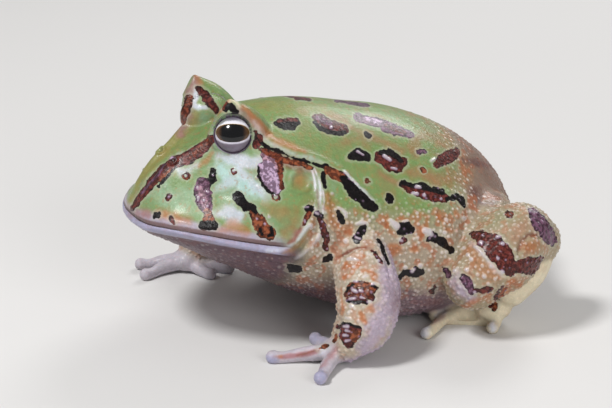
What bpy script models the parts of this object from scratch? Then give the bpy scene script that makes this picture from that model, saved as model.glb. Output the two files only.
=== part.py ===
"""Fantasy horned frog, a still life-size model sitting with its front raised on its arms.

Row frame: metres, +Z up, the floor at z = 0, the snout towards -Y and the frog's own left side at +X.
Sizes below are millimetres times MM. Every node is one closed solid, and neighbours keep a gap.
"""

from collections import namedtuple

import bmesh
import bpy
import numpy as np
from mathutils import Matrix, Vector

MM = 0.001
GAP = 0.3 * MM
LEFT, RIGHT = 1, -1

# Head and trunk: one section at each named place from snout to rump
Section = namedtuple("Section", "place y top ridge_w ridge_z width level bottom bulge")
SECTIONS = (
    Section("snout tip", -43.1, 30.4, 2.0, 30.3, 3.8, 29.0, 27.8, 0.0),
    Section("upper lip", -42.2, 32.3, 3.0, 32.2, 8.2, 29.1, 26.2, -0.1),
    Section("snout", -39.8, 35.8, 3.5, 36.0, 12.4, 29.4, 24.6, -0.4),
    Section("nostrils", -36.4, 39.3, 4.1, 39.9, 16.1, 29.3, 22.8, -0.6),
    Section("canthus", -31.8, 42.1, 5.4, 43.1, 19.2, 28.6, 20.2, -0.5),
    Section("front of the eyes", -26.6, 45.0, 8.0, 46.2, 21.6, 27.5, 17.0, -0.4),
    Section("back of the eyes", -20.3, 47.8, 11.6, 47.7, 23.5, 26.1, 13.5, 0.6),
    Section("jaw corners", -13.5, 50.2, 16.2, 45.4, 25.0, 24.9, 9.7, 1.7),
    Section("nape", -6.0, 50.9, 18.8, 42.4, 26.4, 23.4, 6.2, 2.0),
    Section("shoulders", 2.0, 50.0, 20.4, 39.4, 28.2, 21.5, 3.4, 2.2),
    Section("chest", 11.0, 48.0, 21.4, 37.2, 30.0, 19.0, -0.2, 2.5),
    Section("belly", 21.0, 45.7, 21.4, 35.8, 30.6, 18.0, -0.8, 2.7),
    Section("loins", 31.0, 41.7, 19.4, 32.6, 28.2, 17.5, -0.7, 2.6),
    Section("hips", 39.5, 36.6, 15.4, 29.0, 23.4, 17.5, 0.4, 2.1),
    Section("vent", 46.0, 30.8, 10.4, 25.7, 16.0, 17.2, 4.6, 1.4),
    Section("rump", 49.6, 25.8, 6.0, 22.8, 9.2, 17.8, 9.8, 0.8),
    Section("rump end", 51.4, 21.8, 2.4, 20.8, 3.6, 18.0, 14.6, 0.2),
)
RINGS_PER_SECTION = 3
POINTS_PER_SPAN = 3
# Shares of width, and of the drop from lip to throat or from flank to belly, below the widest line
JAW_SIDE, JAW_UNDER = (0.955, 0.17), (0.62, 0.70)
FLANK_SIDE, FLANK_UNDER = (0.93, 0.44), (0.66, 0.87)
HEAD_TO_TRUNK_Y = (-18.0, 2.0)

# Cuts that part the head from the trunk and the lower jaw from the head
NECK_Y, NECK_Z, NECK_LEAN = -11.0, 26.0, 0.10
MOUTH_BACK_Y = -4.0

# Eyes, lids, horns and nostrils, for the left side
EYE_AT = Vector((9.3, -22.1, 47.7))
EYE_AXIS = Vector((0.86, -0.40, 0.26)).normalized()
EYE_RADIUS = 4.5
ORBIT_AT, ORBIT_RADIUS = Vector((8.3, -21.4, 47.0)), 5.6
LID_RISE, LID_RADIUS, LID_THICKNESS = 1.3, 4.5, 0.75
HORN_BASE, HORN_TIP = Vector((9.0, -20.6, 47.0)), Vector((10.3, -23.1, 56.0))
EYE_OPENING_RADIUS, OPENING_FLARE, OPENING_LENGTH = 3.9, 0.22, 9.0
# Share of the height, then half length, half width and how far the ring is set back
HORN_LEVELS = (
    (0.0, 6.9, 4.6, 1.2),
    (0.35, 6.2, 4.2, 0.9),
    (0.58, 4.9, 3.3, 0.9),
    (0.76, 3.4, 2.3, 0.8),
    (0.9, 1.8, 1.4, 0.3),
    (1.0, 0.6, 0.6, 0.0),
)
NOSTRIL_AT, NOSTRIL_RADIUS = Vector((4.5, -35.0, 41.5)), 0.9

# Limbs: centre line and radius at each named joint. Left is on the camera's side
Joint = namedtuple("Joint", "x y z r")
UPPER_ARM = {
    LEFT: (Joint(19, 2, 25, 6.6), Joint(26.5, 1.2, 20.0, 6.8), Joint(32.6, 0.2, 14.2, 7.0)),
    RIGHT: (Joint(-19, 1, 25, 6.6), Joint(-25.5, -2.0, 20.0, 6.8), Joint(-30.8, -5.2, 14.2, 6.9)),
}
FOREARM = {
    LEFT: (Joint(33.0, 0.1, 13.6, 7.1), Joint(35.0, -2.6, 8.8, 6.6), Joint(34.6, -6.2, 5.6, 5.0)),
    RIGHT: (Joint(-31.0, -5.4, 13.8, 7.0), Joint(-32.3, -10.0, 9.0, 6.4), Joint(-31.8, -14.2, 5.8, 4.8)),
}
PALM = {LEFT: Joint(33.3, -8.6, 2.7, 3.9), RIGHT: Joint(-31.4, -17.6, 2.7, 3.9)}
# Each finger and toe from its root to its tip, as seen from above
FINGERS = {
    LEFT: (
        ((33.3, -8.6), (38.0, -12.6), (42.3, -16.3)),
        ((33.3, -8.6), (30.2, -15.0), (27.9, -21.2)),
        ((33.3, -8.6), (27.2, -8.0), (22.6, -8.2)),
        ((33.3, -8.6), (28.6, -4.8), (25.6, -1.6)),
    ),
    RIGHT: (
        ((-31.4, -17.6), (-35.0, -22.6), (-36.6, -27.8)),
        ((-31.4, -17.6), (-31.2, -24.0), (-29.6, -29.2)),
        ((-31.4, -17.6), (-27.4, -16.4), (-23.4, -14.8)),
        ((-31.4, -17.6), (-27.6, -12.6), (-25.0, -9.2)),
    ),
}
FINGER_RADII = (2.3, 1.35, 1.55)
THIGH = {side: (Joint(side * 11, 38, 20, 9.0), Joint(side * 22, 34, 18.5, 9.8), Joint(side * 31, 28, 14.8, 7.8)) for side in (LEFT, RIGHT)}
SHANK = {
    side: (
        Joint(side * 33.4, 26.6, 13.9, 7.2),
        Joint(side * 33.8, 32.0, 18.0, 8.4),
        Joint(side * 31.8, 38.4, 21.2, 8.1),
        Joint(side * 30.6, 43.2, 19.4, 6.2),
    )
    for side in (LEFT, RIGHT)
}
TARSUS = {side: (Joint(side * 30.6, 43.0, 17.2, 5.4), Joint(side * 31.4, 41.0, 12.8, 4.8), Joint(side * 31.0, 37.2, 8.4, 4.1)) for side in (LEFT, RIGHT)}
SOLE = {side: Joint(side * 29.2, 34.0, 3.8, 4.0) for side in (LEFT, RIGHT)}
TOES = (
    ((29.2, 34.0), (31.6, 33.4), (34.3, 31.0)),
    ((29.2, 34.0), (25.2, 29.4), (25.6, 23.2), (30.6, 15.9)),
    ((29.2, 34.0), (24.6, 29.8), (22.4, 26.4), (22.8, 22.4)),
    ((29.2, 34.0), (25.4, 32.2), (23.0, 30.0)),
    ((29.2, 34.0), (26.6, 35.4), (24.6, 34.6)),
)
TOE_RADII = (2.2, 1.3, 1.5)
WEB_REACH = 0.72
WEB_DRAWN_IN = 0.72
WEB_THICKNESS = 1.1
DIGIT_SINK = 0.25

PART = bpy.data.collections.new("horned_frog")
CUTTERS = bpy.data.collections.new("cutters")


def clear_scene():
    for obj in list(bpy.data.objects):
        bpy.data.objects.remove(obj)
    for collection in (PART, CUTTERS):
        bpy.context.scene.collection.children.link(collection)


# Smooth curves through a few points
def smooth(points, steps):
    """Points on a Catmull-Rom curve, with this many steps between neighbours."""
    points = np.asarray(points, float)
    padded = np.vstack([2 * points[:1] - points[1:2], points, 2 * points[-1:] - points[-2:-1]])
    made = []
    for i in range(1, len(padded) - 2):
        before, start, end, after = padded[i - 1 : i + 3]
        for step in range(steps):
            t = step / steps
            made.append(
                0.5
                * (
                    2 * start
                    + (end - before) * t
                    + (2 * before - 5 * start + 4 * end - after) * t**2
                    + (3 * start - before - 3 * end + after) * t**3
                )
            )
    made.append(points[-1])
    return np.array(made)


def smooth_loop(points, steps):
    """The same for a closed ring."""
    points = np.asarray(points, float)
    wrapped = np.vstack([points[-2:], points, points[:3]])
    return smooth(wrapped, steps)[2 * steps : (2 + len(points)) * steps]


# Meshes, Booleans and nodes
def mesh_object(name, mesh, collection=PART):
    obj = bpy.data.objects.new(name, mesh)
    collection.objects.link(obj)
    if collection is CUTTERS:
        obj.hide_render = True
        obj.display_type = "WIRE"
    return obj


def object_from_bmesh(name, bm, collection=PART):
    bmesh.ops.recalc_face_normals(bm, faces=bm.faces)
    mesh = bpy.data.meshes.new(name)
    bm.to_mesh(mesh)
    bm.free()
    return mesh_object(name, mesh, collection)


def loft(name, rings, collection=PART):
    """A closed skin over rings that have equal counts of points, in millimetres."""
    bm = bmesh.new()
    made = [[bm.verts.new(Vector(point) * MM) for point in ring] for ring in rings]
    for lower, upper in zip(made, made[1:]):
        for i in range(len(lower)):
            j = (i + 1) % len(lower)
            bm.faces.new((lower[i], lower[j], upper[j], upper[i]))
    bm.faces.new(made[0])
    bm.faces.new(made[-1])
    return object_from_bmesh(name, bm, collection)


def bake_modifiers(obj):
    bpy.context.view_layer.update()
    graph = bpy.context.evaluated_depsgraph_get()
    mesh = bpy.data.meshes.new_from_object(obj.evaluated_get(graph))
    obj.modifiers.clear()
    obj.data = mesh


def keep_largest(obj):
    """Drops every loose scrap and sealed inner surface, and leaves the largest closed surface."""
    bm = bmesh.new()
    bm.from_mesh(obj.data)
    bmesh.ops.remove_doubles(bm, verts=bm.verts, dist=0.002 * MM)
    bm.faces.ensure_lookup_table()
    seen, groups = set(), []
    for face in bm.faces:
        if face in seen:
            continue
        group, edge = [], [face]
        seen.add(face)
        while edge:
            current = edge.pop()
            group.append(current)
            for e in current.edges:
                if len(e.link_faces) != 2:
                    continue
                for neighbour in e.link_faces:
                    if neighbour not in seen:
                        seen.add(neighbour)
                        edge.append(neighbour)
        groups.append(group)
    groups.sort(key=lambda group: sum(face.calc_area() for face in group))
    bmesh.ops.delete(bm, geom=[face for group in groups[:-1] for face in group], context="FACES")
    bm.to_mesh(obj.data)
    bm.free()


def boolean(obj, operation, others, solver="EXACT"):
    """One Boolean with a collection of closed meshes, applied. The meshes are then removed."""
    tools = bpy.data.collections.new("boolean_tools")
    bpy.context.scene.collection.children.link(tools)
    for other in others:
        for owner in list(other.users_collection):
            owner.objects.unlink(other)
        tools.objects.link(other)
    modifier = obj.modifiers.new(operation.lower(), "BOOLEAN")
    modifier.operation = operation
    modifier.operand_type = "COLLECTION"
    modifier.collection = tools
    modifier.solver = solver
    bake_modifiers(obj)
    for other in list(tools.objects):
        bpy.data.objects.remove(other)
    bpy.data.collections.remove(tools)
    keep_largest(obj)
    return obj


def swollen(obj, by=GAP):
    """A copy pushed out along its normals, which cuts a neighbour back to leave the gap."""
    copy = mesh_object(obj.name + "_swollen", obj.data.copy(), CUTTERS)
    modifier = copy.modifiers.new("swell", "DISPLACE")
    modifier.mid_level = 0.0
    modifier.strength = by
    bake_modifiers(copy)
    return copy


def clear_of(obj, *neighbours):
    """Cuts obj back from each neighbour in turn. The swollen copies can fold, which EXACT misreads."""
    for neighbour in neighbours:
        boolean(obj, "DIFFERENCE", [swollen(neighbour)], "MANIFOLD")
    return obj


def copy_of(obj, name, collection=PART):
    return mesh_object(name, obj.data.copy(), collection)


def ball(name, centre, radius, segments=16, rings=10, scale=(1, 1, 1), collection=PART):
    bm = bmesh.new()
    bmesh.ops.create_uvsphere(bm, u_segments=segments, v_segments=rings, radius=radius * MM)
    bmesh.ops.scale(bm, vec=scale, verts=bm.verts)
    bmesh.ops.translate(bm, vec=Vector(centre) * MM, verts=bm.verts)
    return object_from_bmesh(name, bm, collection)


def prism(name, outline_yz, half_width, collection=CUTTERS):
    """A block with this outline in the YZ plane, as wide as the frog."""
    bm = bmesh.new()
    near = [bm.verts.new(Vector((half_width, y, z)) * MM) for y, z in outline_yz]
    far = [bm.verts.new(Vector((-half_width, y, z)) * MM) for y, z in outline_yz]
    bm.faces.new(near)
    bm.faces.new(far[::-1])
    for i in range(len(near)):
        j = (i + 1) % len(near)
        bm.faces.new((near[j], near[i], far[i], far[j]))
    return object_from_bmesh(name, bm, collection)


def tube(name, joints, sides_resolution=3, steps=4, round_start=True):
    """A limb as a bevelled curve with round ends, made a closed mesh."""
    line = smooth(joints, steps)
    start, end = line[0], line[-1]
    into = (line[0, :3] - line[1, :3]) / np.linalg.norm(line[0, :3] - line[1, :3])
    out = (line[-1, :3] - line[-2, :3]) / np.linalg.norm(line[-1, :3] - line[-2, :3])
    angles = np.radians((80, 55, 28))
    tail = [np.append(end[:3] + out * end[3] * np.sin(a), end[3] * np.cos(a)) for a in angles[::-1]]
    line = np.vstack([line, tail])
    if round_start:
        head = [np.append(start[:3] + into * start[3] * np.sin(a), start[3] * np.cos(a)) for a in angles]
        line = np.vstack([head, line])
    curve = bpy.data.curves.new(name, "CURVE")
    curve.dimensions = "3D"
    curve.bevel_depth = MM
    curve.bevel_resolution = sides_resolution
    curve.use_fill_caps = True
    spline = curve.splines.new("POLY")
    spline.points.add(len(line) - 1)
    for point, (x, y, z, radius) in zip(spline.points, line):
        point.co = (x * MM, y * MM, z * MM, 1)
        point.radius = radius
    helper = bpy.data.objects.new(name + "_curve", curve)
    CUTTERS.objects.link(helper)
    bpy.context.view_layer.update()
    graph = bpy.context.evaluated_depsgraph_get()
    mesh = bpy.data.meshes.new_from_object(helper.evaluated_get(graph))
    bpy.data.objects.remove(helper)
    bm = bmesh.new()
    bm.from_mesh(mesh)
    bmesh.ops.remove_doubles(bm, verts=bm.verts, dist=0.01 * MM)
    return object_from_bmesh(name, bm)


# Head and trunk
def half_section(s):
    """Points down the left side of one section, from the midline above to the midline below."""
    start, end = HEAD_TO_TRUNK_Y
    share = min(1.0, max(0.0, (s.y - start) / (end - start)))
    side = [a + (b - a) * share for a, b in zip(JAW_SIDE, FLANK_SIDE)]
    under = [a + (b - a) * share for a, b in zip(JAW_UNDER, FLANK_UNDER)]
    drop = s.bottom - s.level
    cheek = Vector((s.ridge_w + s.width, s.ridge_z + s.level)) / 2
    cheek += Vector((s.ridge_z - s.level, s.width - s.ridge_w)).normalized() * s.bulge
    return [
        (0.0, s.top),
        (s.ridge_w * 0.56, s.top + (s.ridge_z - s.top) * 0.3),
        (s.ridge_w, s.ridge_z),
        (cheek.x, cheek.y),
        (s.width, s.level),
        (s.width * side[0], s.level + drop * side[1]),
        (s.width * under[0], s.level + drop * under[1]),
        (0.0, s.bottom),
    ]


def body_form(name):
    """Snout to rump as one loft. Sections are smoothed along the body first, then around it."""
    keys = np.array([[(x, s.y, z) for x, z in half_section(s)] for s in SECTIONS])
    stations = smooth(keys.reshape(len(keys), -1), RINGS_PER_SECTION).reshape(-1, keys.shape[1], 3)
    rings = []
    for half in stations:
        mirrored = half[-2:0:-1] * (-1, 1, 1)
        rings.append(smooth_loop(np.vstack([half, mirrored]), POINTS_PER_SPAN))
    return loft(name, rings)


def mouth_heights():
    """Height of the mouth line at each place, from the snout back past the jaw corners."""
    return [(s.y, s.level) for s in SECTIONS if s.y < MOUTH_BACK_Y]


def neck_y(z):
    return NECK_Y + (z - NECK_Z) * NECK_LEAN


def lid_ring(name, side):
    """The raised rim of the lids, a ring square to the eye's axis."""
    bm = bmesh.new()
    rows, around = 20, 8
    centre = EYE_AT + EYE_AXIS * LID_RISE
    across = EYE_AXIS.cross(Vector((0, 0, 1))).normalized()
    upward = across.cross(EYE_AXIS).normalized()
    rings = []
    for i in range(rows):
        turn = 2 * np.pi * i / rows
        out = across * np.cos(turn) + upward * np.sin(turn)
        middle = centre + out * LID_RADIUS
        ring = []
        for j in range(around):
            roll = 2 * np.pi * j / around
            point = middle + (out * np.cos(roll) + EYE_AXIS * np.sin(roll)) * LID_THICKNESS
            ring.append(bm.verts.new(Vector((point.x * side, point.y, point.z)) * MM))
        rings.append(ring)
    for i, ring in enumerate(rings):
        following = rings[(i + 1) % rows]
        for j in range(around):
            k = (j + 1) % around
            bm.faces.new((ring[j], ring[k], following[k], following[j]))
    return object_from_bmesh(name, bm)


def horn(name, side):
    """The upper lid, drawn up into a soft leaning horn."""
    rings = []
    for share, along, across, set_back in HORN_LEVELS:
        centre = HORN_BASE.lerp(HORN_TIP, share) + Vector((0, set_back, 0))
        angles = np.linspace(0, 2 * np.pi, 14, endpoint=False)
        rings.append([(side * (centre.x + across * np.cos(a)), centre.y + along * np.sin(a), centre.z) for a in angles])
    return loft(name, rings)


def eye_opening(name, side):
    """The room between the lids, a cone that widens along the eye's axis."""
    turn = Vector((0, 0, 1)).rotation_difference(mirrored(EYE_AXIS, side)).to_matrix().to_4x4()
    centre = mirrored(EYE_AT + EYE_AXIS * (OPENING_LENGTH / 2), side) * MM
    bm = bmesh.new()
    wide = EYE_OPENING_RADIUS + OPENING_LENGTH * OPENING_FLARE
    bmesh.ops.create_cone(
        bm,
        cap_ends=True,
        segments=24,
        radius1=EYE_OPENING_RADIUS * MM,
        radius2=wide * MM,
        depth=OPENING_LENGTH * MM,
        matrix=Matrix.Translation(centre) @ turn,
    )
    return object_from_bmesh(name, bm, CUTTERS)


def mirrored(point, side):
    return Vector((point.x * side, point.y, point.z))


def build_head_and_trunk():
    body = body_form("torso")
    additions = []
    for side in (LEFT, RIGHT):
        additions.append(ball("orbit", mirrored(ORBIT_AT, side), ORBIT_RADIUS, 20, 14))
        additions.append(lid_ring("lid", side))
    boolean(body, "UNION", additions)

    head = copy_of(body, "head")
    half_gap = GAP / MM / 2
    front = [(-60, -10), (neck_y(-10) + half_gap, -10), (neck_y(70) + half_gap, 70), (-60, 70)]
    back = [(70, -10), (70, 70), (neck_y(70) - half_gap, 70), (neck_y(-10) - half_gap, -10)]
    boolean(body, "DIFFERENCE", [prism("in_front_of_neck", front, 60)])
    boolean(head, "DIFFERENCE", [prism("behind_neck", back, 60)])

    jaw = copy_of(head, "lower_jaw")
    line = mouth_heights()
    first, last = line[0][1], line[-1][1]
    path = [(-60, first)] + line + [(30, last)]
    over = [(y, z - half_gap) for y, z in path] + [(30, 80), (-60, 80)]
    under = [(y, z + half_gap) for y, z in path] + [(30, -20), (-60, -20)]
    boolean(jaw, "DIFFERENCE", [prism("over_mouth", over, 60)])
    boolean(head, "DIFFERENCE", [prism("under_mouth", under, 60)])
    boolean(head, "DIFFERENCE", [ball("nostril", mirrored(NOSTRIL_AT, side), NOSTRIL_RADIUS, 8, 6, collection=CUTTERS) for side in (LEFT, RIGHT)])
    return body, head, jaw


def digit(name, path, root_z, radii):
    """One finger or toe from the palm or sole to its round tip, arched a little."""
    base_r, thin_r, tip_r = radii
    joints = []
    for i, (x, y) in enumerate(path):
        share = i / (len(path) - 1)
        radius = base_r + (thin_r - base_r) * min(1.0, 1.4 * share)
        joints.append((x, y, root_z + (thin_r - DIGIT_SINK - root_z) * min(1.0, 1.25 * share), radius))
    neck = np.array(path[-2]) + (np.array(path[-1]) - path[-2]) * 0.62
    joints[-1] = (*neck, thin_r - DIGIT_SINK, thin_r)
    joints.append((*path[-1], tip_r - DIGIT_SINK, tip_r))
    return tube(name, joints, sides_resolution=2, steps=2, round_start=False)


def web(name, first, second):
    """Skin between two toes, its free edge drawn in between them."""
    hub = Vector(first[0])
    sides = []
    for path in (first, second):
        line = smooth(path, 4)
        reached = line[: max(3, round(len(line) * WEB_REACH))]
        sides.append([Vector(point) for point in reached[1:]])
    middle = hub.lerp((sides[0][-1] + sides[1][-1]) / 2, WEB_DRAWN_IN)
    outline = [hub] + sides[0] + [middle] + sides[1][::-1]
    bm = bmesh.new()
    low = [bm.verts.new(Vector((p.x, p.y, -0.5)) * MM) for p in outline]
    high = [bm.verts.new(Vector((p.x, p.y, WEB_THICKNESS)) * MM) for p in outline]
    bm.faces.new(low)
    bm.faces.new(high[::-1])
    for i in range(len(outline)):
        j = (i + 1) % len(outline)
        bm.faces.new((low[j], low[i], high[i], high[j]))
    bmesh.ops.triangulate(bm, faces=[face for face in bm.faces if len(face.verts) > 4])
    return object_from_bmesh(name, bm)


def on_floor(obj):
    """Cuts the node flat where it meets the floor."""
    low, high = [(-70, -30), (70, -30), (70, 0), (-70, 0)], 70
    boolean(obj, "DIFFERENCE", [prism("floor_block", low, high)])
    return obj


def build_arm(side, word, torso, head, jaw):
    upper = tube("upper_arm_" + word, UPPER_ARM[side])
    clear_of(upper, torso, head, jaw)
    fore = tube("forearm_" + word, FOREARM[side])
    clear_of(fore, upper, torso, jaw)
    palm = PALM[side]
    hand = ball("hand_" + word, (palm.x, palm.y, palm.z), palm.r, 16, 10, (1, 1, 0.72))
    fingers = [digit("finger", path, palm.z, FINGER_RADII) for path in FINGERS[side]]
    boolean(hand, "UNION", fingers)
    on_floor(hand)
    clear_of(hand, fore, torso)
    return [upper, fore, hand]


def build_leg(side, word, torso):
    thigh = tube("thigh_" + word, THIGH[side])
    clear_of(thigh, torso)
    shank = tube("shank_" + word, SHANK[side])
    clear_of(shank, thigh, torso)
    sole = SOLE[side]
    foot = ball("foot_" + word, (sole.x, sole.y, sole.z), sole.r, 16, 10, (1, 1.1, 0.72))
    toes = [[(side * x, y) for x, y in path] for path in TOES]
    pieces = [tube("tarsus", TARSUS[side])]
    pieces += [digit("toe", path, sole.z, TOE_RADII) for path in toes]
    pieces += [web("web", a, b) for a, b in zip(toes, toes[1:])]
    boolean(foot, "UNION", pieces)
    on_floor(foot)
    clear_of(foot, shank, thigh, torso)
    return [thigh, shank, foot]


def place_on_floor_centre(nodes):
    """Moves the whole frog so that the middle of its box's base is the origin, and centres each node on itself."""
    boxes = np.array([[obj_point(node, corner) for corner in node.bound_box] for node in nodes]).reshape(-1, 3)
    middle = (boxes.min(axis=0) + boxes.max(axis=0)) / 2
    for node in nodes:
        corners = np.array(node.bound_box)
        own = (corners.min(axis=0) + corners.max(axis=0)) / 2
        node.data.transform(Matrix.Translation(-Vector(own)))
        node.location = Vector(own) - Vector((middle[0], middle[1], 0))


def obj_point(node, corner):
    return node.matrix_world @ Vector(corner)


# Colours
def material(name, colour, roughness):
    made = bpy.data.materials.new(name)
    made.use_nodes = True
    shader = made.node_tree.nodes["Principled BSDF"]
    shader.inputs["Base Color"].default_value = (*colour, 1)
    shader.inputs["Roughness"].default_value = roughness
    shader.inputs["Metallic"].default_value = 0.0
    return made


def main():
    clear_scene()
    torso, head, jaw = build_head_and_trunk()
    on_floor(torso)
    nodes = [torso, head, jaw]
    for side, word in ((LEFT, "left"), (RIGHT, "right")):
        eye = ball("eye_" + word, mirrored(EYE_AT, side), EYE_RADIUS, 20, 12)
        boolean(head, "DIFFERENCE", [eye_opening("opening", side)])
        clear_of(head, eye)
        upper_lid = horn("horn_" + word, side)
        boolean(upper_lid, "DIFFERENCE", [eye_opening("opening", side)])
        clear_of(upper_lid, head, eye)
        nodes += [eye, upper_lid]
    for side, word in ((LEFT, "left"), (RIGHT, "right")):
        nodes += build_arm(side, word, torso, head, jaw)
        nodes += build_leg(side, word, torso)

    green = material("green_back", (0.23, 0.33, 0.12), 0.45)
    tan = material("warty_side", (0.42, 0.30, 0.19), 0.5)
    pale = material("pale_underside", (0.52, 0.47, 0.46), 0.5)
    horn_brown = material("horn_brown", (0.33, 0.19, 0.12), 0.5)
    eye_gloss = material("eye_gloss", (0.05, 0.04, 0.03), 0.1)
    for node in nodes:
        name = node.name
        finish = tan
        if name in ("torso", "head"):
            finish = green
        elif name == "lower_jaw" or name.startswith(("hand", "foot")):
            finish = pale
        elif name.startswith("horn"):
            finish = horn_brown
        elif name.startswith("eye"):
            finish = eye_gloss
        node.data.materials.clear()
        node.data.materials.append(finish)
        node.data.shade_smooth()
        node.data.set_sharp_from_angle(angle=0.9)
    place_on_floor_centre(nodes)


main()
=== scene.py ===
import math

import bmesh
import bpy
import numpy as np
from mathutils import Matrix, Vector, noise
from mathutils.bvhtree import BVHTree
from mathutils.kdtree import KDTree


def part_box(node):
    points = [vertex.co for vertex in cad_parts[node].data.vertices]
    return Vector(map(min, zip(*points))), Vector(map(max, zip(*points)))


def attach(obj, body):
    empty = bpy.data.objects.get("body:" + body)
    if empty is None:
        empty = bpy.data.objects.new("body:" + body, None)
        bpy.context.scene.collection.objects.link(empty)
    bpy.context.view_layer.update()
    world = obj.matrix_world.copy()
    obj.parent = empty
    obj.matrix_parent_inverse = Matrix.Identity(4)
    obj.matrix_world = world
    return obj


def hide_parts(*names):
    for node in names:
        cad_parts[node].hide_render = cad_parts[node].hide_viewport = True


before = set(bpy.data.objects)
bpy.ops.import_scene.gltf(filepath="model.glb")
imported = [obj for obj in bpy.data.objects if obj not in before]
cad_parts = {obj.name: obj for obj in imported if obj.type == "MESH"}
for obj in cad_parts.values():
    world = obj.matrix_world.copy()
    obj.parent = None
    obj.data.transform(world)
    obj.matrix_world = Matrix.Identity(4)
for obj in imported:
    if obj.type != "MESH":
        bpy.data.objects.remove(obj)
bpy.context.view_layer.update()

# A horned frog at life size. Blender units are metres; the sizes named below are in millimetres.
mm = 0.001
photoSize = (612, 408)  # a pixel below is a place in the photograph at this size

# Camera and room

cameraView = {
    "azimuth": 65.0,  # degrees round to the frog's left from straight in front
    "elevation": 20.0,
    "distance": 480.0,
    "aim": (-0.854, -4.15, 24.8),
    "pixelsPerMm": 4.3,  # at the aim
    "sensor": 36.0,
}


def cameraAxes():
    turn = math.radians(cameraView["azimuth"])
    rise = math.radians(cameraView["elevation"])
    back = Vector((math.sin(turn) * math.cos(rise), -math.cos(turn) * math.cos(rise), math.sin(rise)))
    right = Vector((math.cos(turn), math.sin(turn), 0))
    return right, back.cross(right), back


def buildCamera():
    right, up, back = cameraAxes()
    data = bpy.data.cameras.new("camera")
    data.sensor_width = cameraView["sensor"]
    data.lens = cameraView["pixelsPerMm"] * cameraView["distance"] * data.sensor_width / photoSize[0]
    data.clip_start = 0.01
    camera = bpy.data.objects.new("camera", data)
    place = (Vector(cameraView["aim"]) + back * cameraView["distance"]) * mm
    camera.matrix_world = Matrix.Translation(place) @ Matrix((right, up, back)).transposed().to_4x4()
    bpy.context.scene.collection.objects.link(camera)
    bpy.context.scene.camera = camera


def pixelRay(pixel):
    # where the camera stands and the way it looks through this pixel, in millimetres
    right, up, back = cameraAxes()
    perMm = cameraView["pixelsPerMm"] * cameraView["distance"]
    across = (pixel[0] - photoSize[0] / 2) / perMm
    down = (pixel[1] - photoSize[1] / 2) / perMm
    start = Vector(cameraView["aim"]) + back * cameraView["distance"]
    return start, (right * across - up * down - back).normalized()


roomLook = {
    "floor": (0.66, 0.65, 0.64),
    "floorRoughness": 0.85,
    "floorHalf": 3.0,  # metres
    "ambient": 0.27,
    "lampAim": (0, 0, 0.02),
    # where each lamp stands from the frog, its size in metres, its power in watts, and whether it glints
    "lamps": {
        "key": ((0.08, -0.46, 0.74), 0.20, 5.6, True),
        "fill": ((0.75, 0.10, 0.32), 0.5, 3.0, False),
        "rim": ((-0.40, 0.50, 0.50), 0.35, 2.2, True),
    },
}


def buildRoom():
    world = bpy.data.worlds.new("studio")
    world.use_nodes = True
    background = world.node_tree.nodes["Background"]
    background.inputs["Color"].default_value = (1, 1, 1, 1)
    background.inputs["Strength"].default_value = roomLook["ambient"]
    bpy.context.scene.world = world
    bpy.context.scene.view_settings.view_transform = "Standard"
    bm = bmesh.new()
    bmesh.ops.create_grid(bm, x_segments=2, y_segments=2, size=roomLook["floorHalf"])
    mesh = bpy.data.meshes.new("floor")
    bm.to_mesh(mesh)
    bm.free()
    floor = bpy.data.objects.new("floor", mesh)
    bpy.context.scene.collection.objects.link(floor)
    paper = bpy.data.materials.new("palePaper")
    paper.use_nodes = True
    shader = paper.node_tree.nodes["Principled BSDF"]
    shader.inputs["Base Color"].default_value = (*roomLook["floor"], 1)
    shader.inputs["Roughness"].default_value = roomLook["floorRoughness"]
    mesh.materials.append(paper)
    for name, (place, size, power, glints) in roomLook["lamps"].items():
        data = bpy.data.lights.new(name, "AREA")
        data.shape = "DISK"
        data.size = size
        data.energy = power
        lamp = bpy.data.objects.new(name, data)
        lamp.location = place
        lamp.visible_glossy = glints
        aim = Vector(roomLook["lampAim"]) - Vector(place)
        lamp.rotation_euler = aim.to_track_quat("-Z", "Y").to_euler()
        bpy.context.scene.collection.objects.link(lamp)


# Mesh helpers. Arrays of points are in millimetres


def pointsOf(mesh):
    found = np.empty(len(mesh.vertices) * 3, np.float32)
    mesh.vertices.foreach_get("co", found)
    return found.reshape(-1, 3).astype(np.float64) / mm


def setPoints(mesh, points):
    mesh.vertices.foreach_set("co", (points * mm).astype(np.float32).ravel())
    mesh.update()


def normalsOf(mesh):
    found = np.empty(len(mesh.vertices) * 3, np.float32)
    mesh.vertex_normals.foreach_get("vector", found)
    return found.reshape(-1, 3).astype(np.float64)


def edgesOf(mesh):
    found = np.empty(len(mesh.edges) * 2, np.int32)
    mesh.edges.foreach_get("vertices", found)
    return found.reshape(-1, 2)


def blurred(values, edges, rounds, weight=0.5):
    # each point moves towards the mean of its neighbours
    values = values.copy()
    flat = values.reshape(len(values), -1)
    count = np.bincount(edges.ravel(), minlength=len(flat)).clip(1)
    for _ in range(rounds):
        for k in range(flat.shape[1]):
            column = flat[:, k]
            total = np.bincount(edges[:, 0], weights=column[edges[:, 1]], minlength=len(flat))
            total += np.bincount(edges[:, 1], weights=column[edges[:, 0]], minlength=len(flat))
            flat[:, k] = column + (total / count - column) * weight
    return flat.reshape(values.shape)


def meltedAt(points, edges, weight, rounds):
    # the surface evened out where the weight is high, and fully so above two thirds
    return points + (blurred(points, edges, rounds) - points) * np.minimum(1, weight * 1.5)[:, None]


def smoothStep(low, high, x):
    t = np.clip((x - low) / (high - low), 0, 1)
    return t * t * (3 - 2 * t)


def distances(points, place):
    return np.linalg.norm(points - place, axis=1)


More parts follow.
